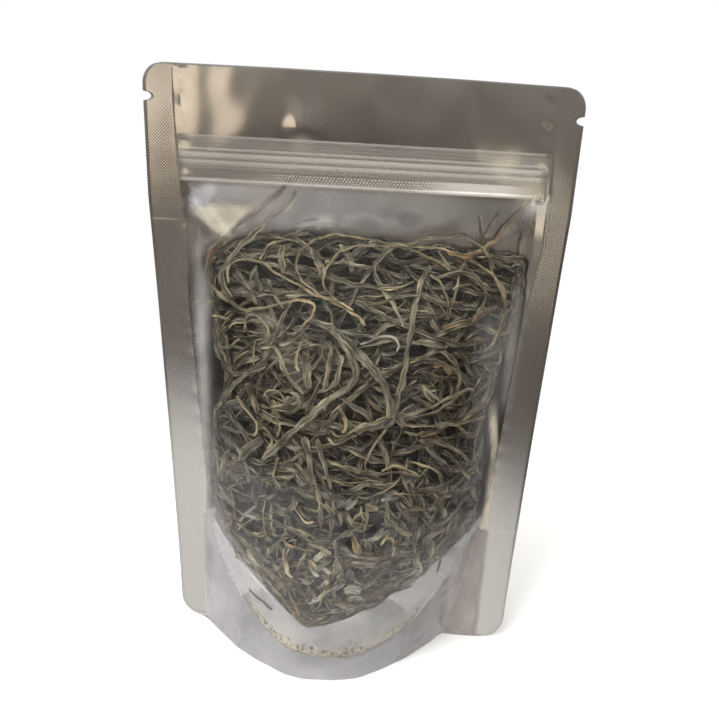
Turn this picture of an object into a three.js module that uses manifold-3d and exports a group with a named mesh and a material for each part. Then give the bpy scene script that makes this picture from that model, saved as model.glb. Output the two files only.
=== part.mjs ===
// A stand-up zip pouch of dried kelp strips: a clear front film and a foil back, sealed at the
// sides and round the base gusset, with a press-to-close zip under the header and a heap of
// tangled kelp ribbons behind the clear front.
// Millimetres. +X to the right, +Y to the back, +Z up. The origin is on the surface that the
// pouch stands on, under the middle of its base.

import * as THREE from "three";
import { mergeVertices } from "three/addons/utils/BufferGeometryUtils.js";
import Module from "manifold-3d";

// ---- the pouch, as sizes of the film ----
const HEIGHT = 205;
const TOP_WIDTH = 140;
const BASE_WIDTH = 128.8;
const WIDTH_FULL_AT = 165;
const WIDTH_CURVE = 1.3;
const TOP_CORNER_RADIUS = 6.5;
const BASE_CORNER_RADIUS = 9;
const SHEET = 1.0;

// ---- the bulge of each panel, measured from the middle plane ----
const BULGE_DEPTH = 29.4;
const BULGE_TOP = 171;
const BULGE_FALL = 2.6;
const BULGE_SHOULDER = 1.15;
const SEAL_EDGE_BASE = 48.5;
const SEAL_EDGE_TOP = 58;
const SEAL_EDGE_RISE = 130;
const SEAL_EDGE_CURVE = 0.9;
const CREST_SHIFT = -7.5;
const CREST_SHIFT_GONE_AT = 60;
const CROWN_BASE = 1.12;
const CROWN_TOP = 0.78;

// ---- how the flat of the pouch is turned and bowed ----
const TWIST_BASE = -0.045;
const TWIST_TOP = 0.045;
const HEADER_BOW = 4;
const HEADER_BOW_FROM = 140;

// ---- the panels' grid ----
const FOOT_ROWS = [0, 0.7, 2.5, 5, 9];
const SIDE_ROWS = { from: 17, to: 150, step: 9.5 };
const TOP_ROWS = [152, 160, 166, 171, 178, 187, 196, 198.5, 200.5, 202.4, 203.9, 204.7, HEIGHT];
const PANEL_COLUMNS = 16;
const COLUMN_BUNCHING = 0.35;
const LEAST_SEAL = 3;

// ---- tear notches ----
const NOTCH_BELOW_TOP = 9.8;
const NOTCH_DEPTH = 2.6;
const NOTCH_HEIGHT = 2.2;
const NOTCH_MOUTH = 2;
const NOTCH_CUT = 30;

// ---- zip ----
const ZIP_TOP = 184.4;
const ZIP_HEIGHT = 13.6;
const ZIP_HALF_LENGTH = 61;
const ZIP_PROUD = 0.5;
const ZIP_RECESS = 0.45;
const ZIP_SEAT_FRONT = 5;
const ZIP_STEPS = 6;
const ZIP_RIDGES = [
  { down: 1.1, height: 0.5, width: 1.6 },
  { down: 4.5, height: 1.0, width: 1.7 },
  { down: 6.9, height: 1.0, width: 1.7 },
  { down: 12.5, height: 0.8, width: 1.5 },
];

// ---- the gusset's hollow under the base ----
const SKIRT = 2.0;
const GUSSET_LOW = 2.4;
const GUSSET_RIM = 3.6;
const GUSSET_REACH = 0.86;
const GUSSET_STEPS = 14;
const GUSSET_STEPS_ACROSS = 6;
const GUSSET_CUT_BELOW = 3;

// ---- the kelp's heap and the pocket that it fills ----
const GAP = 0.3;
const BACK_WALL = 2.0;
const POCKET_FRONT = 6;
const HEAP_TOP = 157;
const HEAP_TOP_DROP = 12;
const HEAP_SIDE = 4.5;
const HEAP_LOW = 22;
const HEAP_LOW_X = -12;
const HEAP_LEFT = { run: 41, rise: 30, curve: 1.1 };
const HEAP_RIGHT = { run: 63, rise: 34, curve: 1.9 };
const HEAP_LEAST_DEPTH = 0.8;
const POCKET_GRID = { columns: 12, rows: 16 };
const CORE_GRID = { columns: 10, rows: 12 };
const CORE_INSET = 0.9;

// ---- the strips on the heap's face ----
const STRIP_LAYER = 4.6;
const STRIP_THICK = 1.2;
const STRIP_STEP = 7.5;
const STRIP_MARGIN = 2.5;
const STRIP_SINK = 0.7;
const STRIP_END_WIDTH = 0.45;
const STRIP_ARCH = 0.5;
const STRIP_ROLL_STEP = 0.9;
const STRIP_ROLL_PHASE = 7;
const STRIP_FEWEST_POINTS = 4;
const STRIP_ABOVE_EDGE = 4;
const STRIP_SPREAD = 46;
const CELL_SHAPE = 1.6;
const TURN = 0.26;
const MOST_TURNS = 24;
const SEED = 7041;
const STRIP_ZONES = [
  { count: 12, low: 112, high: 154, length: 84, width: 3.6, level: 0.35, bend: 0.020, drift: 0.0015 },
  { count: 11, low: 68, high: 118, length: 60, width: 4.2, level: 1.3, bend: 0.028, drift: 0.004 },
  { count: 13, low: 26, high: 72, length: 36, width: 4.4, level: 1.57, bend: 0.060, drift: 0.006 },
];

const FILM_COLOUR = 0xb9b4ab;
const ZIP_COLOUR = 0xa39c92;
const KELP_COLOUR = 0x55523f;

const wasm = await Module();
wasm.setup();

// ---- the two panels as surfaces y(x, z) ----

const clamp01 = (t) => Math.min(1, Math.max(0, t));
const smooth = (t) => clamp01(t) * clamp01(t) * (3 - 2 * clamp01(t));

function cornerInset(fromEnd, radius) {
  if (fromEnd >= radius) return 0;
  const rise = radius - fromEnd;
  return radius - Math.sqrt(radius * radius - rise * rise);
}

function halfWidth(z) {
  const spread = (TOP_WIDTH - BASE_WIDTH) / 2;
  const straight = BASE_WIDTH / 2 + spread * clamp01(z / WIDTH_FULL_AT) ** WIDTH_CURVE;
  return straight - cornerInset(z, BASE_CORNER_RADIUS) - cornerInset(HEIGHT - z, TOP_CORNER_RADIUS);
}

function sealEdge(z) {
  const rise = clamp01(z / SEAL_EDGE_RISE) ** SEAL_EDGE_CURVE;
  return SEAL_EDGE_BASE + (SEAL_EDGE_TOP - SEAL_EDGE_BASE) * rise;
}

// The line that the bulge is deepest on: left of the middle at the base, and back to the middle
// a little way up.
const crestX = (z) => CREST_SHIFT * (1 - clamp01(z / CREST_SHIFT_GONE_AT));

// 0 on the side seals, 1 on the crest of the bulge.
function crossSection(x, z) {
  const t = Math.abs(x - crestX(z)) / sealEdge(z);
  if (t >= 1) return 0;
  const crown = CROWN_BASE + (CROWN_TOP - CROWN_BASE) * smooth(z / CREST_SHIFT_GONE_AT);
  return (1 - t * t) ** crown;
}

function bulge(x, z) {
  if (z >= BULGE_TOP) return 0;
  const fade = (1 - (z / BULGE_TOP) ** BULGE_FALL) ** BULGE_SHOULDER;
  return BULGE_DEPTH * fade * crossSection(x, z);
}

function middleY(x, z) {
  const twist = TWIST_BASE + (TWIST_TOP - TWIST_BASE) * (z / HEIGHT);
  const across = 1 - (x / (TOP_WIDTH / 2)) ** 2;
  const bow = HEADER_BOW * smooth((z - HEADER_BOW_FROM) / (HEIGHT - HEADER_BOW_FROM)) * across;
  return twist * x - bow;
}

const frontY = (x, z) => middleY(x, z) - SHEET / 2 - bulge(x, z);
const backY = (x, z) => middleY(x, z) + SHEET / 2 + bulge(x, z);

// ---- solids from grids, and joins between them ----

// A closed solid between two grids of points: near[i][j] and far[i][j] are [x, y, z]. Both are
// split into triangles alike, and a band along the rim closes them. Seen from outside, near has
// its columns to the right and its rows upwards.
function solidBetween(near, far) {
  const rows = near.length;
  const columns = near[0].length;
  const positions = [];
  for (const sheet of [near, far]) {
    for (const row of sheet) {
      for (const point of row) positions.push(...point);
    }
  }
  const at = (sheet, i, j) => (sheet * rows + i) * columns + j;
  const index = [];
  for (let i = 0; i + 1 < rows; i++) {
    for (let j = 0; j + 1 < columns; j++) {
      index.push(at(0, i, j), at(0, i, j + 1), at(0, i + 1, j + 1));
      index.push(at(0, i, j), at(0, i + 1, j + 1), at(0, i + 1, j));
      index.push(at(1, i, j), at(1, i + 1, j + 1), at(1, i, j + 1));
      index.push(at(1, i, j), at(1, i + 1, j), at(1, i + 1, j + 1));
    }
  }
  const rim = [];
  for (let j = 0; j < columns - 1; j++) rim.push([0, j]);
  for (let i = 0; i < rows - 1; i++) rim.push([i, columns - 1]);
  for (let j = columns - 1; j > 0; j--) rim.push([rows - 1, j]);
  for (let i = rows - 1; i > 0; i--) rim.push([i, 0]);
  rim.forEach(([i, j], k) => {
    const [nextI, nextJ] = rim[(k + 1) % rim.length];
    index.push(at(0, i, j), at(1, i, j), at(1, nextI, nextJ));
    index.push(at(0, i, j), at(1, nextI, nextJ), at(0, nextI, nextJ));
  });
  const geometry = new THREE.BufferGeometry();
  geometry.setAttribute("position", new THREE.Float32BufferAttribute(positions, 3));
  geometry.setIndex(index);
  return geometry;
}

function toSolid(geometry) {
  const bare = geometry.clone();
  bare.deleteAttribute("normal");
  bare.deleteAttribute("uv");
  const merged = mergeVertices(bare, 1e-4);
  return new wasm.Manifold(new wasm.Mesh({
    numProp: 3,
    vertProperties: Float32Array.from(merged.attributes.position.array),
    triVerts: Uint32Array.from(merged.index.array),
  }));
}

// The largest body alone, so that loose scraps and closed hollows are dropped.
function largestBody(solid) {
  const bodies = solid.decompose();
  return bodies.reduce((best, body) => (body.volume() > best.volume() ? body : best));
}

function toGeometry(solid) {
  const mesh = solid.getMesh();
  const geometry = new THREE.BufferGeometry();
  geometry.setAttribute("position", new THREE.Float32BufferAttribute(mesh.vertProperties, 3));
  geometry.setIndex(Array.from(mesh.triVerts));
  geometry.computeVertexNormals();
  return geometry;
}

// ---- the pouch ----

function rowHeights() {
  const heights = [...FOOT_ROWS];
  for (let z = SIDE_ROWS.from; z < SIDE_ROWS.to; z += SIDE_ROWS.step) heights.push(z);
  return [...heights, ...TOP_ROWS];
}

// Columns from seal to seal, closer together where the panel turns into the seal.
function columnsAt(z) {
  const half = halfWidth(z);
  const edge = Math.min(sealEdge(z), half - LEAST_SEAL);
  const middle = crestX(z);
  const inner = [];
  for (let k = 0; k <= PANEL_COLUMNS; k++) {
    const even = (2 * k) / PANEL_COLUMNS - 1;
    const bunched = -Math.cos((Math.PI * k) / PANEL_COLUMNS);
    inner.push(middle + edge * (even + (bunched - even) * COLUMN_BUNCHING));
  }
  return [-half, ...inner, half];
}

function pouchShell() {
  const heights = rowHeights();
  const front = heights.map((z) => columnsAt(z).map((x) => [x, frontY(x, z), z]));
  const back = heights.map((z) => columnsAt(z).map((x) => [x, backY(x, z), z]));
  return solidBetween(front, back);
}

function tearNotch(side) {
  const outline = new THREE.Shape();
  outline.moveTo(-NOTCH_DEPTH, 0);
  outline.lineTo(NOTCH_MOUTH, -NOTCH_HEIGHT);
  outline.lineTo(NOTCH_MOUTH, NOTCH_HEIGHT);
  outline.closePath();
  const notch = new THREE.ExtrudeGeometry(outline, { depth: NOTCH_CUT, bevelEnabled: false });
  notch.rotateX(Math.PI / 2);
  if (side < 0) notch.rotateZ(Math.PI);
  const z = HEIGHT - NOTCH_BELOW_TOP;
  notch.translate(side * halfWidth(z), (side * NOTCH_CUT) / 2, z);
  return toSolid(notch);
}

// The hollow under the base, inside the skirt that the sealed panels make all round: the heap
// weighs the gusset film down to just over the surface in the middle.
function gussetHollow() {
  const low = [];
  const high = [];
  for (let i = 0; i <= GUSSET_STEPS; i++) {
    const t = GUSSET_REACH * ((2 * i) / GUSSET_STEPS - 1);
    const x = crestX(0) + t * sealEdge(0);
    const lowRow = [];
    const highRow = [];
    for (let k = 0; k <= GUSSET_STEPS_ACROSS; k++) {
      const u = (2 * k) / GUSSET_STEPS_ACROSS - 1;
      const y = middleY(x, 0) + u * (bulge(x, 0) - SKIRT + SHEET / 2);
      const height = GUSSET_LOW + (GUSSET_RIM - GUSSET_LOW) * Math.max(u * u, t * t);
      lowRow.push([x, y, -GUSSET_CUT_BELOW]);
      highRow.push([x, y, height]);
    }
    low.push(lowRow);
    high.push(highRow);
  }
  return toSolid(solidBetween(low, high));
}

// ---- the pocket, and the heap that fills it ----

function heapLow(x) {
  const { run, rise, curve } = x < HEAP_LOW_X ? HEAP_LEFT : HEAP_RIGHT;
  return HEAP_LOW + rise * (Math.abs(x - HEAP_LOW_X) / run) ** curve;
}

const heapHigh = (u) => HEAP_TOP - HEAP_TOP_DROP * Math.abs(u) ** 3;

function heapPoint(u, v, inset) {
  const guessX = u * (SEAL_EDGE_TOP - HEAP_SIDE);
  const low = heapLow(guessX) + inset;
  const z = low + v * (heapHigh(u) - inset - low);
  const x = u * (sealEdge(z) - HEAP_SIDE - inset);
  return { x, z };
}

// A closed solid over the heap's outline, from y = near(x, z) to y = far(x, z).
function heapSolid({ columns, rows }, inset, near, far) {
  const front = [];
  const back = [];
  for (let i = 0; i <= rows; i++) {
    const frontRow = [];
    const backRow = [];
    for (let j = 0; j <= columns; j++) {
      const { x, z } = heapPoint((2 * j) / columns - 1, i / rows, inset);
      const y = far(x, z);
      frontRow.push([x, Math.min(near(x, z), y - HEAP_LEAST_DEPTH), z]);
      backRow.push([x, y, z]);
    }
    front.push(frontRow);
    back.push(backRow);
  }
  return toSolid(solidBetween(front, back));
}

// ---- the strips ----

function seededRandom(seed) {
  let state = seed;
  return () => {
    state = (state + 0x6d2b79f5) | 0;
    let t = Math.imul(state ^ (state >>> 15), 1 | state);
    t = (t + Math.imul(t ^ (t >>> 7), 61 | t)) ^ t;
    return ((t ^ (t >>> 14)) >>> 0) / 4294967296;
  };
}

const random = seededRandom(SEED);
const between = (low, high) => low + (high - low) * random();

function insideHeap(x, z, margin) {
  const reach = sealEdge(z) - HEAP_SIDE - margin;
  return Math.abs(x) < reach && z > heapLow(x) + margin && z < heapHigh(x / reach) - margin;
}

// One way from a place over the face of the heap: it keeps a slow bend that changes as it goes,
// and turns away from the heap's outline.
function wander(startX, startZ, startHeading, startBend, drift, length) {
  const path = [];
  let heading = startHeading;
  let bend = startBend;
  let x = startX;
  let z = startZ;
  for (let gone = 0; gone < length; gone += STRIP_STEP) {
    let turns = 0;
    while (turns < MOST_TURNS) {
      const nextX = x + STRIP_STEP * Math.cos(heading);
      const nextZ = z + STRIP_STEP * Math.sin(heading);
      if (insideHeap(nextX, nextZ, STRIP_MARGIN)) break;
      heading += (bend < 0 ? -1 : 1) * TURN;
      turns += 1;
    }
    if (turns === MOST_TURNS) break;
    x += STRIP_STEP * Math.cos(heading);
    z += STRIP_STEP * Math.sin(heading);
    path.push([x, z]);
    heading += bend * STRIP_STEP;
    bend += drift;
  }
  return path;
}

// A strip's path goes both ways from its middle.
function stripPath(zone, x, z) {
  const heading = between(-zone.level, zone.level);
  const bend = between(-zone.bend, zone.bend);
  const drift = between(-zone.drift, zone.drift);
  const half = (zone.length / 2) * between(0.7, 1.25);
  const onward = wander(x, z, heading, bend, drift, half);
  const backward = wander(x, z, heading + Math.PI, -bend, drift, half);
  return [...backward.reverse(), [x, z], ...onward];
}

// The pouch's front at a place: the way along it to the next place, and the way out of it.
function faceFrame([x, z], [beforeX, beforeZ], [afterX, afterZ]) {
  const rise = frontY(afterX, afterZ) - frontY(beforeX, beforeZ);
  const along = new THREE.Vector3(afterX - beforeX, rise, afterZ - beforeZ).normalize();
  const slopeX = (frontY(x + 1, z) - frontY(x - 1, z)) / 2;
  const slopeZ = (frontY(x, z + 1) - frontY(x, z - 1)) / 2;
  const out = new THREE.Vector3(slopeX, -1, slopeZ).normalize();
  return { along, out };
}

// A flat ribbon along a path over the heap's face. Its ends sink through the strips' layer into
// the core and its middle lies at the depth given, from 0, the face, to 1. It rolls a little from
// side to side, and narrows at both ends.
function ribbon(path, width, depth, roll) {
  const near = [];
  const far = [];
  const last = path.length - 1;
  path.forEach(([x, z], k) => {
    const { along, out } = faceFrame([x, z], path[Math.max(0, k - 1)], path[Math.min(last, k + 1)]);
    const side = new THREE.Vector3().crossVectors(along, out).normalize();
    const turn = roll * Math.sin(k * STRIP_ROLL_STEP + roll * STRIP_ROLL_PHASE);
    const across = side.multiplyScalar(Math.cos(turn)).addScaledVector(out, Math.sin(turn));
    const face = new THREE.Vector3().crossVectors(across, along).normalize();
    const arch = Math.sin((Math.PI * (k + 0.5)) / (last + 1)) ** STRIP_ARCH;
    const sink = STRIP_THICK * STRIP_SINK + STRIP_LAYER * (1 - arch * (1 - depth));
    const centre = new THREE.Vector3(x, frontY(x, z), z).addScaledVector(out, -sink);
    const half = (width / 2) * (STRIP_END_WIDTH + (1 - STRIP_END_WIDTH) * arch);
    const corner = (s, f) => centre.clone()
      .addScaledVector(across, s * half)
      .addScaledVector(face, (f * STRIP_THICK) / 2)
      .toArray();
    near.push([corner(-1, 1), corner(1, 1)]);
    far.push([corner(-1, -1), corner(1, -1)]);
  });
  return toSolid(solidBetween(near, far));
}

function heapStrips() {
  const strips = [];
  for (const zone of STRIP_ZONES) {
    const columns = Math.ceil(Math.sqrt(zone.count * CELL_SHAPE));
    const rows = Math.ceil(zone.count / columns);
    for (let n = 0; n < zone.count; n++) {
      const cellX = ((n % columns) + between(0.2, 0.8)) / columns;
      const cellZ = (Math.floor(n / columns) + between(0.2, 0.8)) / rows;
      const x = (2 * cellX - 1) * STRIP_SPREAD;
      const z = Math.max(zone.low + (zone.high - zone.low) * cellZ, heapLow(x) + STRIP_ABOVE_EDGE);
      const path = stripPath(zone, x, z);
      if (path.length < STRIP_FEWEST_POINTS) continue;
      strips.push(ribbon(path, zone.width * between(0.75, 1.25), between(0.05, 0.6), between(0.2, 0.7)));
    }
  }
  return strips;
}

const pocketBack = (x, z) => backY(x, z) - BACK_WALL;

const pocket = heapSolid(POCKET_GRID, 0, (x, z) => frontY(x, z) - POCKET_FRONT, pocketBack);
const room = heapSolid(POCKET_GRID, GAP, frontY, (x, z) => pocketBack(x, z) - GAP);
const core = heapSolid(CORE_GRID, CORE_INSET, (x, z) => frontY(x, z) + STRIP_LAYER,
  (x, z) => pocketBack(x, z) - 2 * GAP);

let heap = core;
for (const strip of heapStrips()) heap = heap.add(strip);
const kelpSolid = largestBody(heap.intersect(room));

// ---- the zip: a flat base strip with ridges, set into the front of the header ----

// How far the zip's face stands out of the header, row by row from its bottom edge up.
function zipProfile() {
  const rows = [[0, ZIP_PROUD]];
  for (const { down, height, width } of ZIP_RIDGES) {
    rows.push([down - width / 2, ZIP_PROUD]);
    rows.push([down - width / 4, ZIP_PROUD + height]);
    rows.push([down + width / 4, ZIP_PROUD + height]);
    rows.push([down + width / 2, ZIP_PROUD]);
  }
  rows.push([ZIP_HEIGHT, ZIP_PROUD]);
  return rows.reverse();
}

function zipLoft(rows, half, sunk) {
  const near = [];
  const far = [];
  for (const [down, proud] of rows) {
    const z = ZIP_TOP - down;
    const nearRow = [];
    const farRow = [];
    for (let k = 0; k <= ZIP_STEPS; k++) {
      const x = half * ((2 * k) / ZIP_STEPS - 1);
      nearRow.push([x, frontY(x, z) - proud, z]);
      farRow.push([x, frontY(x, z) + sunk, z]);
    }
    near.push(nearRow);
    far.push(farRow);
  }
  return toSolid(solidBetween(near, far));
}

function zipSeat() {
  const downs = [ZIP_HEIGHT + GAP, ZIP_HEIGHT / 2, -GAP];
  return zipLoft(downs.map((down) => [down, ZIP_SEAT_FRONT]), ZIP_HALF_LENGTH + GAP, ZIP_RECESS);
}

const zipSolid = zipLoft(zipProfile(), ZIP_HALF_LENGTH, ZIP_RECESS - GAP);

const pouchSolid = toSolid(pouchShell())
  .subtract(tearNotch(-1))
  .subtract(tearNotch(1))
  .subtract(gussetHollow())
  .subtract(pocket)
  .subtract(zipSeat());

// ---- the scene graph ----

function addPart(group, name, solid, colour, roughness, metalness) {
  const material = new THREE.MeshStandardMaterial({ color: colour, roughness, metalness });
  const mesh = new THREE.Mesh(toGeometry(solid), material);
  mesh.name = name;
  group.add(mesh);
}

const group = new THREE.Group();
addPart(group, "pouch", largestBody(pouchSolid), FILM_COLOUR, 0.35, 0.6);
addPart(group, "zip", largestBody(zipSolid), ZIP_COLOUR, 0.4, 0.0);
addPart(group, "kelp", kelpSolid, KELP_COLOUR, 0.85, 0.0);

export default group;
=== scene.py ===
"""A stand-up zip pouch of dried kelp strips.

The back of the pouch is foil and its front is clear film. Both are heat-sealed down their sides,
over the header and round the base gusset, and a press-to-close zip runs under the header. Every
size here is in millimetres on the pouch itself; mesh_piece() turns them to Blender's metres.
"""

import math

import bpy
import numpy as np
from mathutils import Matrix


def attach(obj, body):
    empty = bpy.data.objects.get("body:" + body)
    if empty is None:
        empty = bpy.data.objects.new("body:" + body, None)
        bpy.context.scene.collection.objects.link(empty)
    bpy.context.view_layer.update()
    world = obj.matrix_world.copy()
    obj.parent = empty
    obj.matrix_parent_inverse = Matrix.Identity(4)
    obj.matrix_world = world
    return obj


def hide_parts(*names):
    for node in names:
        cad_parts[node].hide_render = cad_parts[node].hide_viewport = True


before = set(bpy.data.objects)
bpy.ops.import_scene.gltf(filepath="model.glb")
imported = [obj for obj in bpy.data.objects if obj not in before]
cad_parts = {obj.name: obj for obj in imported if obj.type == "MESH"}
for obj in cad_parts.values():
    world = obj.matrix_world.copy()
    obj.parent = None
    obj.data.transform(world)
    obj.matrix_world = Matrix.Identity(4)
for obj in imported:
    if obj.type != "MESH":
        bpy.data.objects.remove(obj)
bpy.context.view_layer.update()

MM = 0.001
SEED = 7041

# ---------------------------------------------------------------- sizes of the pouch
# Both panels: their height, their width, and their rounded corners and tear notches.
HEIGHT = 205.0
TOP_WIDTH = 140.0
BASE_WIDTH = 128.8
WIDTH_FULL_AT = 165.0
WIDTH_CURVE = 1.3
TOP_CORNER_RADIUS = 6.5
BASE_CORNER_RADIUS = 9.0
NOTCH_AT = 195.2
NOTCH_DEPTH = 2.6
NOTCH_HALF_HEIGHT = 1.3

# Thickness of a film, and half the thickness of the two that are sealed together.
FILM = 0.16
LAYER = 0.22
# Gaps inside: between front and back, beside the gusset film, between kelp and film, and the
# room for crumbs between the front and the gusset.
FILMS_APART = 0.04
SNUG = 0.15
KELP_GAP = 0.05
CRUMB_ROOM = 0.5

# The bulge of a panel: its depth, how it fades upwards, and how far from the middle it starts.
BULGE_DEPTH = 29.4
BULGE_TOP = 171.0
BULGE_FALL = 2.6
BULGE_SHOULDER = 1.15
SEAL_EDGE_BASE = 48.5
SEAL_EDGE_TOP = 58.0
SEAL_EDGE_RISE = 130.0
SEAL_EDGE_CURVE = 0.9
# Low down the bulge's crest lies to the left, and its section is less full.
CREST_SHIFT = -7.5
CREST_SHIFT_GONE_AT = 60.0
CROWN_BASE = 1.12
CROWN_TOP = 0.78
# The pouch is slightly twisted, and its header bows forwards.
TWIST_BASE = -0.045
TWIST_TOP = 0.045
HEADER_BOW = 4.0
HEADER_BOW_FROM = 140.0
# Height from which the panels lie flat on each other.
PANELS_MEET = 172.0

# Inner edge of each side seal: how far from the middle it is at the base, two leans outwards, as
# how far, from what height and over how much height, and the curve of the first lean.
LEFT_SEAL = (51.5, (5.5, 48.0, 82.0), (4.0, 130.0, 67.0), 1.0)
RIGHT_SEAL = (53.0, (9.0, 50.0, 105.0), (-1.5, 165.0, 25.0), 1.6)
# The sealing bars leave rows of pillows this far apart.
KNURL_PITCH = 0.95

ZIP_TOP = 184.6
ZIP_HEIGHT = 14.4
ZIP_HALF_LENGTH = 60.6

# The curved seal that joins a panel to the gusset: its lowest place, its height there, how far it
# rises to the gusset's folded ends, how far off they are on the left and right, and its curve.
ARC_MIDDLE = -4.0
ARC_LOW = 10.0
ARC_RISE = 38.0
ARC_LEFT = 47.0
ARC_RIGHT = 51.0
ARC_CURVE = 2.6
# The gusset film: half its length, and how far it sags under the heap and over what half length.
GUSSET_HALF_LENGTH = 50.4
GUSSET_SAG = 4.6
SAG_HALF_LENGTH = 52.0

# Lower edge of the kelp: its lowest place, and how it rises on the left and right of that, as over
# what distance, by how much, and its curve.
HEAP_LOW = 22.0
HEAP_LOW_X = -12.0
HEAP_LEFT = (41.0, 30.0, 1.1)
HEAP_RIGHT = (63.0, 35.0, 1.3)
# Upper edge of the kelp: its places across and its heights.
HEAP_TOP = ([-54, -45, -40, -33, -14, -4, 13, 26, 36, 46, 54],
            [145, 150, 153, 155.5, 156, 155, 154, 155, 154, 153, 151])
# Left and right edges of the kelp: their heights and their places across.
HEAP_LEFT_SIDE = ([51, 64, 81, 91, 97, 109, 114, 125, 132, 143],
                  [-49.5, -49.3, -48.6, -47.9, -45.8, -43.6, -46.5, -48.4, -49.2, -50.4])
HEAP_RIGHT_SIDE = ([56, 62, 87, 98, 106, 114, 125, 133, 140, 150],
                   [48.9, 49.8, 47.2, 46.6, 48.8, 50.6, 52.7, 53.8, 55.6, 55.0])

# ---------------------------------------------------------------- the camera
PICTURE = (719, 720)
PICTURE_CENTRE = 360.0
FOCAL_PIXELS = 620.0
# Its place in millimetres, and its angles in radians.
CAMERA_AT = np.array([0.05, -211.0, 173.83])
CAMERA_YAW = 0.008528
CAMERA_DOWN = 0.284180
CAMERA_ROLL = -0.054444


def camera_axes():
    """The camera's forward, right and down directions."""
    forward = np.array([
        math.sin(CAMERA_YAW) * math.cos(CAMERA_DOWN),
        math.cos(CAMERA_YAW) * math.cos(CAMERA_DOWN),
        -math.sin(CAMERA_DOWN),
    ])
    level = np.array([math.cos(CAMERA_YAW), -math.sin(CAMERA_YAW), 0.0])
    plumb = np.cross(forward, level)
    right = math.cos(CAMERA_ROLL) * level + math.sin(CAMERA_ROLL) * plumb
    down = -math.sin(CAMERA_ROLL) * level + math.cos(CAMERA_ROLL) * plumb
    return forward, right, down


def add_camera():
    forward, right, down = camera_axes()
    camera = bpy.data.cameras.new("camera")
    camera.sensor_fit = "HORIZONTAL"
    camera.sensor_width = 36.0
    camera.lens = FOCAL_PIXELS / PICTURE[0] * camera.sensor_width
    camera.clip_start = 0.01
    camera.clip_end = 50.0
    seat = bpy.data.objects.new("camera", camera)
    bpy.context.scene.collection.objects.link(seat)
    axes = Matrix((right, -down, -forward)).transposed().to_4x4()
    seat.matrix_world = Matrix.Translation(CAMERA_AT * MM) @ axes
    bpy.context.scene.camera = seat


# ---------------------------------------------------------------- the panels as surfaces y(x, z)
def smooth(t):
    t = np.clip(t, 0.0, 1.0)
    return t * t * (3.0 - 2.0 * t)


def between(t, low, fade_in, high, fade_out):
    """1 between two values, fading to 0 at low over one distance and at high over another."""
    return smooth((t - low) / fade_in) * smooth((high - t) / fade_out)


def peak(t, at, reach):
    """1 at a value, fading over a reach on both sides of it."""
    return np.exp(-(((t - at) / reach) ** 2))


def blob(x, z, at, reach):
    """1 at a place, fading over a reach across and up."""
    return np.exp(-(((x - at[0]) / reach[0]) ** 2) - ((z - at[1]) / reach[1]) ** 2)


def corner_inset(from_end, radius):
    rise = np.clip(radius - from_end, 0.0, radius)
    return radius - np.sqrt(radius * radius - rise * rise)


def edge_insets(z):
    """Half the width of a panel before its corners and notches are cut, and what each cuts off."""
    spread = (TOP_WIDTH - BASE_WIDTH) / 2.0
    straight = BASE_WIDTH / 2.0 + spread * np.clip(z / WIDTH_FULL_AT, 0.0, 1.0) ** WIDTH_CURVE
    corners = corner_inset(z, BASE_CORNER_RADIUS) + corner_inset(HEIGHT - z, TOP_CORNER_RADIUS)
    off_notch = (z - NOTCH_AT) / NOTCH_HALF_HEIGHT
    notch = NOTCH_DEPTH * np.sqrt(np.clip(1.0 - off_notch ** 2, 0.0, 1.0))
    return straight, corners, notch


def seal_edge(z):
    """How far from the middle the bulge of a panel starts."""
    rise = np.clip(z / SEAL_EDGE_RISE, 0.0, 1.0) ** SEAL_EDGE_CURVE
    return SEAL_EDGE_BASE + (SEAL_EDGE_TOP - SEAL_EDGE_BASE) * rise


def seal_line(side, z):
    """The inner edge of the knurled side seal: left for side -1, right for side 1."""
    start, lean, upper_lean, curve = LEFT_SEAL if side < 0 else RIGHT_SEAL
    by, low, rise = lean
    out = start + by * np.clip((z - low) / rise, 0.0, 1.0) ** curve
    by, low, rise = upper_lean
    return side * (out + by * smooth((z - low) / rise))


def crest_x(z):
    return CREST_SHIFT * (1.0 - np.clip(z / CREST_SHIFT_GONE_AT, 0.0, 1.0))


def cross_section(x, z):
    """0 on the side seals, 1 on the crest of the bulge."""
    t = np.clip(np.abs(x - crest_x(z)) / seal_edge(z), 0.0, 1.0)
    crown = CROWN_BASE + (CROWN_TOP - CROWN_BASE) * smooth(z / CREST_SHIFT_GONE_AT)
    return (1.0 - t * t) ** crown


def bulge(x, z):
    fade = (1.0 - np.clip(z / BULGE_TOP, 0.0, 1.0) ** BULGE_FALL) ** BULGE_SHOULDER
    return BULGE_DEPTH * fade * cross_section(x, z)


def middle_y(x, z):
    twist = TWIST_BASE + (TWIST_TOP - TWIST_BASE) * (z / HEIGHT)
    across = 1.0 - (x / (TOP_WIDTH / 2.0)) ** 2
    bow = HEADER_BOW * smooth((z - HEADER_BOW_FROM) / (HEIGHT - HEADER_BOW_FROM)) * across
    return twist * x - bow


def front_y(x, z):
    return middle_y(x, z) - LAYER - bulge(x, z)


def back_y(x, z):
    return middle_y(x, z) + LAYER + bulge(x, z)


def base_arc(x):
    """Height of the curved seal that joins a panel to the gusset: low in the middle of the base
    and up to the gusset's folded ends."""
    reach = np.where(x < ARC_MIDDLE, ARC_LEFT, ARC_RIGHT)
    return ARC_LOW + ARC_RISE * np.clip(np.abs(x - ARC_MIDDLE) / reach, 0.0, 1.0) ** ARC_CURVE


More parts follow.
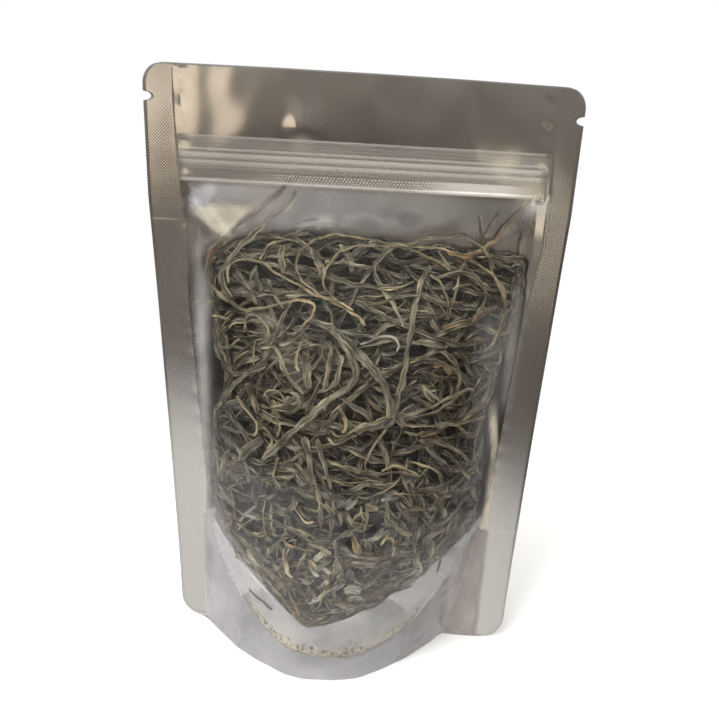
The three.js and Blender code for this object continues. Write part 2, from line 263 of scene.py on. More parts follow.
def heap_low(x):
    """Lower edge of the kelp behind the front film."""
    run, rise, curve = HEAP_LEFT
    left = HEAP_LOW + rise * (np.clip(HEAP_LOW_X - x, 0.0, None) / run) ** curve
    run, rise, curve = HEAP_RIGHT
    right = HEAP_LOW + rise * (np.clip(x - HEAP_LOW_X, 0.0, None) / run) ** curve
    return np.where(x < HEAP_LOW_X, left, right)


def heap_high(x):
    return np.interp(x, *HEAP_TOP)


# ---------------------------------------------------------------- relief of the films
def ripple(x, z, size, seed, stretch=1.0):
    """Smooth uneven waves about size across, mostly between -1 and 1; stretch makes them longer
    up and down."""
    draw = np.random.default_rng(seed)
    total = 0.0
    for _ in range(7):
        angle = draw.uniform(0.0, 2.0 * math.pi)
        length = size * draw.uniform(0.7, 1.6)
        phase = draw.uniform(0.0, 2.0 * math.pi)
        travel = x * math.cos(angle) + z * math.sin(angle) / stretch
        total = total + np.sin(2.0 * math.pi * travel / length + phase)
    return total / 2.6


def fold(x, z, start, end, width, height):
    """A straight crease between two places on a panel, sharp along its line and gone at its
    ends."""
    length = math.hypot(end[0] - start[0], end[1] - start[1])
    ux = (end[0] - start[0]) / length
    uz = (end[1] - start[1]) / length
    along = ((x - start[0]) * ux + (z - start[1]) * uz) / length
    across = (x - start[0]) * uz - (z - start[1]) * ux
    taper = np.sqrt(np.clip(1.0 - (2.0 * along - 1.0) ** 2, 0.0, 1.0))
    return height * taper * np.exp(-np.abs(across) / width)


# Creases of the clear front: start, end, width and height.
FRONT_FOLDS = [
    ((-52.0, 170.0), (-31.0, 152.0), 1.0, 0.55),
    ((-57.5, 164.5), (-46.0, 149.0), 0.9, 0.5),
    ((-57.0, 163.0), (-53.0, 136.0), 0.9, 0.35),
    ((-54.0, 128.0), (-46.0, 108.0), 1.1, 0.4),
    ((-53.0, 112.0), (-49.0, 84.0), 1.2, 0.4),
    ((-50.0, 100.0), (-47.0, 62.0), 1.0, 0.3),
    ((57.5, 167.0), (53.0, 140.0), 1.2, 0.6),
    ((54.5, 128.0), (51.0, 96.0), 1.4, 0.5),
    ((52.0, 96.0), (50.0, 52.0), 1.3, 0.6),
    ((46.5, 50.0), (38.0, 16.0), 1.6, 0.35),
    ((41.5, 46.0), (31.0, 14.0), 1.8, 0.3),
    ((36.0, 40.0), (25.0, 12.0), 1.8, 0.25),
    ((-50.0, 47.0), (-37.0, 18.0), 1.8, 0.5),
    ((12.0, 170.0), (2.0, 158.0), 1.5, 0.3),
    ((-14.0, 171.0), (-8.0, 159.0), 1.2, 0.3),
    ((34.0, 171.0), (30.0, 160.0), 1.6, 0.3),
]


def bulged(x, z):
    """1 on the bulged middle of a panel, 0 on its seals and header."""
    return smooth((seal_edge(z) + 1.0 - np.abs(x)) / 7.0) * smooth((PANELS_MEET - z) / 8.0)


def gusset_ledge(x, z):
    """1 where the gusset lies behind a panel, above the curved seal."""
    return between(z, base_arc(x), 1.2, 60.0, 10.0)


def front_relief(x, z):
    """How far the clear front stands out of its smooth bulge."""
    soft = bulged(x, z)
    out = soft * (0.35 * ripple(x, z, 26.0, 11) + 0.1 * ripple(x, z, 8.0, 12))
    left_puff = blob(x, z, (-44.0, 165.0), (9.0, 5.0))
    right_puff = blob(x, z, (52.0, 164.0), (6.0, 5.0))
    out = out + smooth((170.5 - z) / 3.0) * (1.5 * left_puff + 1.2 * right_puff)
    for start, end, width, height in FRONT_FOLDS:
        out = out + fold(x, z, start, end, width, height)
    pucker = np.exp(-np.abs(np.abs(x) - seal_edge(z)) / 3.0) * smooth((z - 50.0) / 20.0)
    out = out + 0.22 * pucker * np.sin(z * 0.75 + 3.0 * ripple(x, z, 40.0, 13))
    return out + 0.3 * gusset_ledge(x, z) * soft


def header_relief(x, z):
    """How far the flat header and side seals stand off the plane: slow waves, one round dimple,
    and the marks that the sealing bars leave."""
    header = smooth((z - PANELS_MEET) / 10.0)
    seals = smooth((np.abs(x) - 50.0) / 8.0)
    waves = 0.12 * header * ripple(x, z, 34.0, 21, 2.0) + 0.03 * header * ripple(x, z, 11.0, 22, 1.6)
    dimple = blob(x, z, (-19.5, 188.0), (5.5, 6.5))
    to_seal = np.minimum(np.abs(x - seal_line(-1, z)), np.abs(x - seal_line(1, z)))
    ridge = -0.07 * peak(to_seal, 0.0, 0.45)
    inner_end = 0.12 * smooth((47.5 - z) / 1.0) * smooth((np.abs(x) - 50.5) / 1.5)
    seam = -0.05 * peak(z, 157.4, 0.35) * smooth((-57.0 - x) / 2.0)
    crimp = -0.15 * np.exp(-(((x - 60.8) / 0.5) ** 2) - ((z - 174.0) / 3.6) ** 4)
    marks = ridge + inner_end + seam + crimp
    return waves - 1.0 * dimple + 0.1 * seals * ripple(x, z, 24.0, 23, 2.5) + marks


def back_relief(x, z):
    """How far the foil back stands out of its smooth bulge: soft waves, folds from both seals in
    turn, and a flat slope down to the zip where no kelp fills it."""
    soft = bulged(x, z)
    out = soft * (0.5 * ripple(x, z, 30.0, 31) + 0.12 * ripple(x, z, 9.0, 32))
    for k in range(9):
        side = -1.0 if k % 2 else 1.0
        low = 30.0 + 15.0 * k
        start = (side * 55.0, low + 12.0)
        end = (side * (34.0 + 3.0 * (k % 3)), low)
        out = out + soft * fold(x, z, start, end, 1.4, 0.45)
    slope = 0.09 * np.clip(PANELS_MEET - z, 0.0, None) * cross_section(x, z) - bulge(x, z)
    out = out * smooth((164.0 - z) / 10.0) + between(z, 142.0, 12.0, PANELS_MEET, 1.0) * slope
    return out + 0.4 * gusset_ledge(x, z) * soft


def film_front(x, z):
    """Outer face of the clear front."""
    return front_y(x, z) - front_relief(x, z) + header_relief(x, z)


def foil_back(x, z):
    """Outer face of the foil back, always behind the clear front."""
    return np.maximum(back_y(x, z) + back_relief(x, z) + header_relief(x, z),
                      film_front(x, z) + 2.0 * FILM + FILMS_APART)


# ---------------------------------------------------------------- meshes
def mesh_piece(name, points, faces, material, node, layers=None):
    """A piece of the pouch from points in millimetres. layers holds a value or a vector for each
    point, by name, that the material reads."""
    mesh = bpy.data.meshes.new(name)
    mesh.from_pydata((np.asarray(points) * MM).tolist(), [], faces)
    for layer, values in (layers or {}).items():
        values = np.asarray(values, np.float32)
        kind = "FLOAT" if values.ndim == 1 else "FLOAT_VECTOR"
        attribute = mesh.attributes.new(layer, kind, "POINT")
        attribute.data.foreach_set("value" if kind == "FLOAT" else "vector", values.ravel())
    mesh.polygons.foreach_set("use_smooth", [True] * len(mesh.polygons))
    mesh.materials.append(material)
    mesh.update()
    piece = bpy.data.objects.new(name, mesh)
    bpy.context.scene.collection.objects.link(piece)
    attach(piece, "root")
    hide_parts(node)
    return piece


def shell(near, far):
    """Points and faces of a closed shell between two grids of points. Seen from outside, near
    has its columns to the right and its rows upwards."""
    rows, columns = near.shape[:2]
    points = np.concatenate([near.reshape(-1, 3), far.reshape(-1, 3)])
    number = np.arange(rows * columns).reshape(rows, columns)
    a, b = number[:-1, :-1].ravel(), number[:-1, 1:].ravel()
    c, d = number[1:, 1:].ravel(), number[1:, :-1].ravel()
    under = rows * columns
    faces = np.stack([a, b, c, d], 1).tolist()
    faces += np.stack([a + under, d + under, c + under, b + under], 1).tolist()
    rim = np.concatenate([number[0, :-1], number[:-1, -1], number[-1, :0:-1], number[:0:-1, 0]])
    after = np.roll(rim, -1)
    faces += np.stack([rim, rim + under, after + under, after], 1).tolist()
    return points, faces


def panel_rows():
    """Heights of a panel's rows: closer together at its corners, its notches and its zip."""
    spans = [(0, 9, 0.75), (9, 45, 1.0), (45, 50, 0.4), (50, 60, 1.2), (60, 150, 1.5),
             (150, 156, 1.0), (156, 159, 0.3), (159, 185, 1.0), (185, 192.8, 1.3),
             (192.8, 197.6, 0.3), (197.6, HEIGHT, 0.5)]
    rows = [np.linspace(low, high, int((high - low) / step) + 1)[:-1] for low, high, step in spans]
    return np.concatenate([*rows, [HEIGHT]])


def panel_grid(face):
    """A panel's points from edge to edge on the surface face(x, z), with more columns where the
    side seals start."""
    z = panel_rows()[:, None]
    by_seal = np.linspace(0.78, 0.9, 24)
    even = np.sort(np.concatenate([np.linspace(-1.0, 1.0, 116), by_seal, -by_seal]))[None, :]
    straight, corners, notch = edge_insets(z)
    share = np.abs(even)
    cut = corners * smooth((share - 0.75) / 0.25) + notch * smooth((share - 0.92) / 0.08)
    x = straight * even - np.sign(even) * cut
    z = np.broadcast_to(z, x.shape)
    return np.stack([x, face(x, z), z], 2)


def seal_mask(points):
    """1 on the knurled side seals, 0 elsewhere, for each point."""
    x, z = points[:, 0], points[:, 2]
    left = smooth((seal_line(-1, z) - x) / 0.8 + 0.5)
    right = smooth((x - seal_line(1, z)) / 0.8 + 0.5)
    return np.clip(left + right, 0.0, 1.0)


# ---------------------------------------------------------------- materials
def linear(colour):
    """An sRGB hex colour as linear RGBA."""
    parts = [int(colour[k:k + 2], 16) / 255.0 for k in (1, 3, 5)]
    return (*[p / 12.92 if p <= 0.04045 else ((p + 0.055) / 1.055) ** 2.4 for p in parts], 1.0)


def new_material(name):
    material = bpy.data.materials.new(name)
    material.use_nodes = True
    material.node_tree.nodes.clear()
    return material, material.node_tree


def add(tree, kind, inputs=None, **settings):
    """Adds one node. An input is given by its name or number, as a value or as the output socket
    that feeds it. A MapRange takes its two ranges as inputs 1 to 4, and a Mix of colours takes
    them as 6 and 7 and gives output 2."""
    node = tree.nodes.new("ShaderNode" + kind)
    for key, value in settings.items():
        setattr(node, key, value)
    for key, value in (inputs or {}).items():
        if isinstance(value, bpy.types.NodeSocket):
            tree.links.new(value, node.inputs[key])
        else:
            node.inputs[key].default_value = value
    return node


def grain(size):
    """Scale of a noise pattern whose grain is a size in millimetres."""
    return 1.0 / (size * MM)


def knurl_height(tree, seal):
    """Height of the knurled pattern that the sealing bars press in: rows of small square
    pillows."""
    place = add(tree, "TexCoord").outputs["Object"]
    apart = add(tree, "SeparateXYZ", {0: place})
    waves = []
    for axis in ("X", "Z"):
        turn = add(tree, "Math", {0: apart.outputs[axis], 1: 2.0 * math.pi / (KNURL_PITCH * MM)},
                   operation="MULTIPLY")
        waves.append(add(tree, "Math", {0: turn.outputs[0]}, operation="SINE").outputs[0])
    pillow = add(tree, "Math", {0: waves[0], 1: waves[1]}, operation="MULTIPLY")
    return add(tree, "Math", {0: pillow.outputs[0], 1: seal}, operation="MULTIPLY").outputs[0]


def foil_material():
    """Aluminium foil laminate: rolled foil under a thin plastic skin. It mirrors the room in soft
    patches, the knurled seals scatter it, and it is duller where the kelp has rubbed it."""
    material, tree = new_material("rolled_aluminium_foil")
    place = add(tree, "TexCoord").outputs["Object"]
    seal = add(tree, "Attribute", attribute_name="seal").outputs["Fac"]
    cloud = add(tree, "TexNoise", {"Vector": place, "Scale": grain(22.22), "Detail": 3.0})
    rough = add(tree, "MapRange", {"Value": cloud.outputs["Fac"], 3: 0.07, 4: 0.14})
    worn = add(tree, "Attribute", attribute_name="worn").outputs["Fac"]
    rough = add(tree, "Math", {0: worn, 1: 0.2, 2: rough.outputs[0]}, operation="MULTIPLY_ADD")
    rough = add(tree, "Math", {0: seal, 1: 0.05, 2: rough.outputs[0]}, operation="MULTIPLY_ADD")
    fine = add(tree, "TexNoise", {"Vector": place, "Scale": grain(6.25), "Detail": 4.0})
    knurl = knurl_height(tree, seal)
    height = add(tree, "Math", {0: fine.outputs["Fac"], 1: 0.35, 2: knurl}, operation="MULTIPLY_ADD")
    bump = add(tree, "Bump", {"Height": height.outputs[0], "Strength": 0.07, "Distance": 0.2 * MM})
    surface = add(tree, "BsdfPrincipled", {
        "Base Color": linear("#d9d7d3"), "Metallic": 1.0,
        "Roughness": rough.outputs[0], "Normal": bump.outputs[0],
    })
    add(tree, "OutputMaterial", {"Surface": surface.outputs[0]})
    return material


def film_material(name, haze, tint):
    """Clear polyester and polyethylene film: see-through, glossy, with a faint milkiness where
    kelp has dusted it and where it was creased. Each point holds how milky it is, and of what
    colour; the same milky layer also carries painted shade, painted highlights and a painted
    reflection."""
    material, tree = new_material(name)
    place = add(tree, "TexCoord").outputs["Object"]
    geometry = add(tree, "NewGeometry")
    seal = add(tree, "Attribute", attribute_name="seal").outputs["Fac"]
    milkiness_and_painted_light = add(tree, "Attribute", attribute_name="milkiness_and_painted_light").outputs["Fac"]
    knurl = knurl_height(tree, seal)
    fine = add(tree, "TexNoise", {"Vector": place, "Scale": grain(11.11), "Detail": 3.0})
    height = add(tree, "Math", {0: fine.outputs["Fac"], 1: 0.5, 2: knurl}, operation="MULTIPLY_ADD")
    bump = add(tree, "Bump", {"Height": height.outputs[0], "Strength": 0.1, "Distance": 0.2 * MM})
    clear = add(tree, "BsdfTransparent", {"Color": linear(tint)})
    # The milky colour also holds painted shade, painted highlights and a painted reflection.
    colour = add(tree, "Attribute", attribute_name="milk_and_painted_light_layer").outputs["Color"]
    milk_and_painted_light_layer = add(tree, "BsdfDiffuse", {"Color": colour, "Normal": bump.outputs[0]})
    cloud = add(tree, "TexNoise", {"Vector": place, "Scale": grain(16.67), "Detail": 5.0})
    share = add(tree, "Math", {0: cloud.outputs["Fac"], 1: milkiness_and_painted_light, 2: haze}, operation="MULTIPLY_ADD")
    body = add(tree, "MixShader", {0: share.outputs[0], 1: clear.outputs[0], 2: milk_and_painted_light_layer.outputs[0]})
    mirror = add(tree, "Fresnel", {"IOR": 1.5, "Normal": bump.outputs[0]})
    outside = add(tree, "Math", {0: 1.0, 1: geometry.outputs["Backfacing"]}, operation="SUBTRACT")
    shine = add(tree, "Math", {0: mirror.outputs[0], 1: outside.outputs[0]}, operation="MULTIPLY")
    # The outer face stands in for both, so it mirrors nearly twice as much.
    both = add(tree, "Math", {0: shine.outputs[0], 1: 1.8}, operation="MULTIPLY", use_clamp=True)
    gloss = add(tree, "BsdfGlossy", {"Roughness": 0.12, "Normal": bump.outputs[0]})
    surface = add(tree, "MixShader", {0: both.outputs[0], 1: body.outputs[0], 2: gloss.outputs[0]})
    add(tree, "OutputMaterial", {"Surface": surface.outputs[0]})
    return material


def zip_material():
    """Extruded low-density polyethylene: milky, slightly waxy, with painted highlights along its
    ridges as extra milkiness. Lines of about a millimetre run along it, as the die leaves them."""
    material, tree = new_material("extruded_polyethylene")
    place = add(tree, "TexCoord").outputs["Object"]
    stretched = add(tree, "Mapping", {"Vector": place, "Scale": (0.06, 1.0, 1.0)})
    lines = add(tree, "TexNoise",
                {"Vector": stretched.outputs[0], "Scale": grain(1.111), "Detail": 2.0})
    bump = add(tree, "Bump", {"Height": lines.outputs["Fac"], "Strength": 0.3, "Distance": 0.2 * MM})
    wax = add(tree, "BsdfPrincipled", {
        "Base Color": linear("#ebe7df"), "Roughness": 0.42, "IOR": 1.51, "Normal": bump.outputs[0],
    })
    clear = add(tree, "BsdfTransparent", {"Color": linear("#f9f8f6")})
    # The milky share follows painted highlights on the ridges and dots.
    thick = add(tree, "Attribute", attribute_name="thick").outputs["Fac"]
    streak = add(tree, "MapRange", {"Value": lines.outputs["Fac"], 3: 0.0, 4: 0.08})
    share = add(tree, "Math", {0: thick, 1: 0.27, 2: streak.outputs[0]}, operation="MULTIPLY_ADD")
    surface = add(tree, "MixShader", {0: share.outputs[0], 1: clear.outputs[0], 2: wax.outputs[0]})
    add(tree, "OutputMaterial", {"Surface": surface.outputs[0]})
    return material


# Patterns on a ribbon of kelp, as repeats to the millimetre across it and along it: fibres 0.6 mm
# wide and 5 mm long, and blotches 3 mm wide and 6 mm long. Real fibres are about half as wide.
FIBRES = (1.7, 0.2, 1.0)
BLOTCHES = (0.35, 0.16, 1.0)


def kelp_material(name, flesh, flesh_dark, rim, veil):
    """Air-dried kelp: leathery blades shrunk to ribbons. The flesh is dull olive grey with lengthwise
    fibres, darker in their grooves as painted shade, the curled rims are thin and pale, partly
    as a painted highlight, and dried salt leaves grey bloom."""
    material, tree = new_material(name)
    strip = add(tree, "Attribute", attribute_name="strip").outputs["Vector"]
    shade = add(tree, "Attribute", attribute_name="shade").outputs["Vector"]
    bloom = add(tree, "Attribute", attribute_name="bloom").outputs["Fac"]
    rimness, tone, brown = add(tree, "SeparateXYZ", {0: shade}).outputs
    fibre_place = add(tree, "Mapping", {"Vector": strip, "Scale": FIBRES})
    fibre = add(tree, "TexNoise", {"Vector": fibre_place.outputs[0], "Scale": 1.0, "Detail": 4.0})
    blotch_place = add(tree, "Mapping", {"Vector": strip, "Scale": BLOTCHES})
    blotch = add(tree, "TexNoise", {"Vector": blotch_place.outputs[0], "Scale": 1.0, "Detail": 3.0})
    body = add(tree, "Mix", {0: tone, 6: linear(flesh_dark), 7: linear(flesh)}, data_type="RGBA")
    streak = add(tree, "MapRange", {"Value": fibre.outputs["Fac"], 1: 0.42, 2: 0.68, 3: 0.0, 4: 0.6})
    pale = add(tree, "Mix", {0: streak.outputs[0], 6: body.outputs[2], 7: linear(veil)},
               data_type="RGBA")
    brownish = add(tree, "Mix", {0: brown, 6: pale.outputs[2], 7: linear("#6a4a2c")},
                   data_type="RGBA")
    rim_share = add(tree, "Math", {0: rimness, 1: blotch.outputs["Fac"]}, operation="MULTIPLY")
    rim_share = add(tree, "Math", {0: rim_share.outputs[0], 1: 1.9}, operation="MULTIPLY",
                    use_clamp=True)
    edged = add(tree, "Mix", {0: rim_share.outputs[0], 6: brownish.outputs[2], 7: linear(rim)},
                data_type="RGBA")
    salted = add(tree, "Mix", {0: bloom, 6: edged.outputs[2], 7: linear("#bcbab0")},
                 data_type="RGBA")
    dark = add(tree, "MapRange", {"Value": blotch.outputs["Fac"], 1: 0.3, 2: 0.7, 3: 0.5, 4: 1.25})
    # Painted shade: darker where the fibres' bump is low, in its grooves.
    groove_shade = add(tree, "MapRange", {"Value": fibre.outputs["Fac"], 1: 0.36, 2: 0.6, 3: 0.55, 4: 1.1})
    dark = add(tree, "Math", {0: dark.outputs[0], 1: groove_shade.outputs[0]}, operation="MULTIPLY")
    colour = add(tree, "VectorMath", {0: salted.outputs[2], "Scale": dark.outputs[0]},
                 operation="SCALE")
    bump = add(tree, "Bump", {"Height": fibre.outputs["Fac"], "Strength": 1.0, "Distance": 0.6 * MM})
    surface = add(tree, "BsdfPrincipled", {
        "Base Color": colour.outputs[0], "Roughness": 0.62, "IOR": 1.45, "Normal": bump.outputs[0],
    })
    add(tree, "OutputMaterial", {"Surface": surface.outputs[0]})
    return material


def core_material():
    """The shaded inside of the heap: kelp again, too deep between the strips for light, in
    blotches about as wide as a strip."""
    material, tree = new_material("shaded_kelp")
    place = add(tree, "TexCoord").outputs["Object"]
    cloud = add(tree, "TexNoise", {"Vector": place, "Scale": grain(3.846), "Detail": 4.0})
    colour = add(tree, "Mix", {0: cloud.outputs["Fac"], 6: linear("#11110f"), 7: linear("#22211d")},
                 data_type="RGBA")
    surface = add(tree, "BsdfPrincipled", {"Base Color": colour.outputs[2], "Roughness": 0.85})
    add(tree, "OutputMaterial", {"Surface": surface.outputs[0]})
    return material


# ---------------------------------------------------------------- the films
# What makes a film milky, by its colour: whitened film, the doubled skirt, painted shade on
# the skirt, a tan tint at its right corner, a dusting of kelp, a painted beige highlight, a
# painted cream reflection and painted icy highlights.
WHITENED = "#e6e4e2"
SKIRT_GREY = "#aaa7ae"
SKIRT_SHADE = "#504c46"
SKIRT_TAN = "#b8a88f"
KELP_DUST = "#b39f74"
PAINTED_BEIGE_HIGHLIGHT = "#e6dcc8"
PAINTED_CREAM_REFLECTION = "#c8beaa"
PAINTED_ICE_HIGHLIGHT = "#e4e6ec"


def above(x, z, at, slope, soft):
    """1 above a sloping line through a place, 0 below it, over a soft edge."""
    return smooth((z - at[1] - slope * (x - at[0])) / soft + 0.5)


def film_layers(points):
    """How milky the clear front is, and of what colour, with painted shade, painted highlights and
    a painted reflection in places.
    """
    x, z = points[:, 0], points[:, 2]
    out = np.abs(x)
    # Dust low down, and the empty pocket over the heap, which is milkier on its left.
    low = smooth((90.0 - z) / 60.0) * smooth((56.0 - out) / 8.0)
    pocket = between(z, 155.0, 6.0, PANELS_MEET, 3.0) * smooth((58.0 - out) / 4.0)
    pocket = pocket * (1.0 - 0.7 * smooth((x + 15.0) / 45.0))
    # Whiter film beside both seals, a strip of painted beige highlight beside the right one, and
    # haze next to it.
    left = peak(x, -53.0, 2.8) * between(z, 30.0, 15.0, 150.0, 30.0)
    right = peak(x, 54.5, 2.4) * between(z, 90.0, 15.0, 150.0, 30.0)
    # The beige strip held in salt is a painted highlight.
    strip = np.exp(-(((x - 52.8 + 3.3 * smooth((z - 78.0) / 24.0)) / 1.5) ** 4))
    salt = strip * between(z, 49.0, 1.5, 104.0, 16.0)
    hazy = between(x, 38.0, 8.0, 52.5, 3.0) * between(z, 60.0, 20.0, 138.0, 10.0)
    # The crimp beside the zip's right end, and a painted light spot on the creased corner under
    # it.
    crimp = blob(x, z, (60.6, 174.0), (0.4, 3.0)) + 0.5 * blob(x, z, (64.0, 175.5), (2.5, 0.5))
    creased = blob(x, z, (57.5, 167.5), (4.5, 3.0))
    # The skirt below the gusset's seal: shaded right of its middle and at its left corner, and
    # tan at its right one.
    skirt = smooth((base_arc(x) - z) / 1.2) * smooth((55.5 - out) / 3.0)
    shaded = 2.4 * smooth((x - 20.0) / 11.0) * (1.0 - 0.9 * smooth((x - 35.0) / 7.0))
    shaded = shaded + 0.4 * smooth((-36.0 - x) / 5.0) * smooth((z - 16.0) / 8.0)
    grey = 0.55 + 0.5 * smooth((-34.0 - x) / 8.0)
    tan = 0.35 * smooth((x - 38.0) / 6.0)
    # A painted cream reflection at the pocket's upper left, with a painted pale highlight at the
    # corner beside it and two painted pale highlights along folds.
    cream_reflection = above(x, z, (-46.9, 154.6), -0.7, 1.6) * above(x, z, (-37.3, 161.5), 1.09, 2.0)
    cream_reflection = cream_reflection * above(x, -z, (-46.0, -163.2), 0.0, 3.0) * above(x, -z, (-55.2, -160.6), -0.5, 2.0)
    corner = np.exp(-(((x + 52.0) / 4.0) ** 4) - ((z - 0.5 * (x + 52.0) - 166.0) / 3.2) ** 4)
    fold_highlights = fold(x, z, (-51.0, 164.0), (-42.0, 153.0), 0.5, 0.6)
    fold_highlights = fold_highlights + fold(x, z, (-56.0, 167.0), (-50.0, 158.0), 0.6, 0.5)
    white = (0.02 * low + 0.19 * pocket + 0.4 * left + 0.36 * right + 0.45 * crimp + 0.5 * creased
             + 0.1 * hazy)
    return mixed_milk(points, [
        (white, WHITENED), (1.3 * salt, PAINTED_BEIGE_HIGHLIGHT), (grey * skirt, SKIRT_GREY),
        (shaded * skirt, SKIRT_SHADE), (tan * skirt, SKIRT_TAN), (1.1 * cream_reflection, PAINTED_CREAM_REFLECTION),
        (0.3 * corner + fold_highlights, PAINTED_ICE_HIGHLIGHT),
    ])


def gusset_layers(points):
    """How milky the gusset film is: a painted white highlight along the crease of its fold, tan
    where kelp has dusted the seal that joins it to the front, and painted shade at its right end."""
    x, y, z = points.T
    # The white along the fold's crease is a painted highlight, brightest at two places on the left.
    crease = 0.06 + peak(x, -48.0, 4.0) + peak(x, -30.0, 4.5)
    at_fold = peak(z, gusset_height(x, 0.0), 0.5) * (x < HEAP_LOW_X)
    at_front = smooth((film_front(x, z) + 3.0 - y) / 1.0)
    dusty = np.exp(-np.abs(z - base_arc(x) - 0.8) / 1.3) * smooth((36.0 - np.abs(x + 2.0)) / 8.0)
    milky = 0.3 + 0.22 * smooth((x + 38.0) / 20.0)
    milky = milky + 0.25 * peak(x, -33.0, 5.0)
    shaded = 0.35 * between(x, 14.0, 8.0, 46.0, 6.0)
    return mixed_milk(points, [
        (0.03 + milky * at_front, WHITENED), (1.5 * crease * at_fold * at_front, "#ffffff"),
        (1.1 * dusty * at_front, KELP_DUST), (shaded * at_front, SKIRT_SHADE),
    ])


def mixed_milk(points, parts):
    """The layers that a film's material reads, from pairs of share and colour."""
    milkiness_and_painted_light = sum(share for share, _ in parts)
    colour = sum(share[:, None] * np.array(linear(shade)[:3])[None, :] for share, shade in parts)
    return {"seal": seal_mask(points), "milkiness_and_painted_light": milkiness_and_painted_light, "milk_and_painted_light_layer": colour / np.maximum(milkiness_and_painted_light, 1e-6)[:, None]}


# The kelp has rubbed the foil dull below this height.
RUBBED_BELOW = 161.0


def add_back_foil(material):
    outer = panel_grid(foil_back)
    inner = outer.copy()
    inner[:, :, 1] -= FILM
    points, faces = shell(inner, outer)
    worn = smooth((RUBBED_BELOW - points[:, 2]) / 6.0) * (1.0 - seal_mask(points))
    layers = {"seal": seal_mask(points), "worn": worn}
    mesh_piece("back_foil", points, faces, material, "pouch", layers)


def add_front_film(material):
    outer = panel_grid(film_front)
    inner = outer.copy()
    inner[:, :, 1] += FILM
    points, faces = shell(outer, inner)
    mesh_piece("front_film", points, faces, material, "pouch", film_layers(points))


def gusset_height(x, s):
    """Height of the gusset film under the heap, from the front fold at s 0 to the back at s 1."""
    arc = base_arc(x)
    front = np.maximum(heap_low(x) - 0.6, arc + 0.4)
    back = np.maximum(arc + 3.0, 0.55 * arc + 0.45 * front)
    middle = np.clip(1.0 - (np.abs(x - ARC_MIDDLE) / SAG_HALF_LENGTH) ** 2, 0.0, 1.0)
    sag = GUSSET_SAG * s * (1.0 - s) * 4.0 * middle
    return front + (back - front) * s - sag


def gusset_profile(x):
    """The gusset film at one x, from the front base seal to the back one, as y and z: up behind
    the front film to the kelp's lower edge, back under the heap in a shallow trough, and down
    the foil to the back seal."""
    arc = base_arc(x)
    fold_at, landing = gusset_height(x, 0.0), gusset_height(x, 1.0)
    front = [(film_front(x, z) + FILM + SNUG + CRUMB_ROOM * smooth((z - arc) / 3.0), z)
             for z in np.linspace(arc, fold_at, 12)]
    back = [(foil_back(x, z) - FILM - SNUG, z) for z in np.linspace(landing, arc, 5)]
    y0, y1 = front[-1][0], back[0][0]
    middle = [(y0 + (y1 - y0) * s, gusset_height(x, s)) for s in np.linspace(0.0, 1.0, 17)[1:-1]]
    return front + middle + back


def add_gusset_film(material):
    columns = np.linspace(-GUSSET_HALF_LENGTH, GUSSET_HALF_LENGTH, 84)
    profile = [[(x, y, z) for y, z in gusset_profile(x)] for x in columns]
    top = np.array(profile, float).transpose(1, 0, 2)
    under = top.copy()
    under[:, :, 2] -= FILM
    points, faces = shell(top, under)
    mesh_piece("gusset_film", points, faces, material, "pouch", gusset_layers(points))


# ---------------------------------------------------------------- the zip
ZIP_FLAT = 0.25
# Ridges of the zip, from its top edge down: place, height and width.
ZIP_RIDGES = [(0.5, 0.3, 0.9), (2.0, 0.08, 0.6), (3.0, 0.08, 0.6), (4.3, 0.45, 0.9),
              (6.2, 0.7, 1.8), (8.4, 0.65, 1.7), (9.9, 0.25, 0.7), (13.7, 0.7, 0.9)]
# The band of dots under the double ridge: where it runs, how far apart the dots and their rows
# are, how far each row is shifted in radians of a pitch, and the dots' height.
DOTS_FROM = 10.6
DOTS_TO = 13.0
DOT_PITCH = 1.1
DOT_ROW = 0.8
DOT_SHIFT = 2.6
DOT_HEIGHT = 0.3


def zip_proud(x, down):
    """How far the zip stands out of the header: ridges, a band of dots, and flattened ends where
    it runs into the side seals."""
    out = np.full(np.broadcast(x, down).shape, ZIP_FLAT)
    for at, height, width in ZIP_RIDGES:
        out = out + height * np.clip(1.0 - ((down - at) / (0.62 * width)) ** 2, 0.0, 1.0) ** 0.7
    out = out + DOT_HEIGHT * zip_dots(x, down)
    return out * (0.1 + 0.9 * smooth((ZIP_HALF_LENGTH - 0.6 - np.abs(x)) / 3.0))


def zip_dots(x, down):
    """The band of small raised dots between two ridges, faint towards the zip's ends."""
    band = between(down, DOTS_FROM, 0.3, DOTS_TO, 0.3)
    wave = 2.0 * math.pi / DOT_PITCH
    row = np.round(down / DOT_ROW)
    dots = np.clip(np.sin(wave * x + DOT_SHIFT * row), 0.0, 1.0)
    dots = dots * np.abs(np.cos(math.pi * down / DOT_ROW))
    return dots * band * smooth((40.0 - x) / 25.0) * smooth((x + 40.0) / 20.0)


def zip_milk_and_highlights(x, down):
    """How milky the zip is: milkier where it stands proud and on its dots, as painted highlights,
    less so by its left end, and milkier low down on the right."""
    ends = 0.7 + 0.3 * smooth((x + 45.0) / 30.0)
    waxy = 1.7 * between(x, 12.0, 25.0, 57.0, 12.0) * smooth((down - 10.2) / 0.5)
    return zip_proud(x, down) * ends + 1.4 * zip_dots(x, down) + waxy


def add_zip(material):
    down = np.arange(0.0, ZIP_HEIGHT + 0.01, 0.2)[::-1, None]
    x = np.linspace(-ZIP_HALF_LENGTH, ZIP_HALF_LENGTH, 420)[None, :]
    down, x = np.broadcast_arrays(down, x)
    z = ZIP_TOP - down
    face = film_front(x, z)
    outer = np.stack([x, face - 0.05 - zip_proud(x, down), z], 2)
    inner = np.stack([x, face - 0.02, z], 2)
    points, faces = shell(outer, inner)
    thick = np.tile(zip_milk_and_highlights(x, down).ravel(), 2)
    mesh_piece("zip_track", points, faces, material, "zip", {"thick": thick})


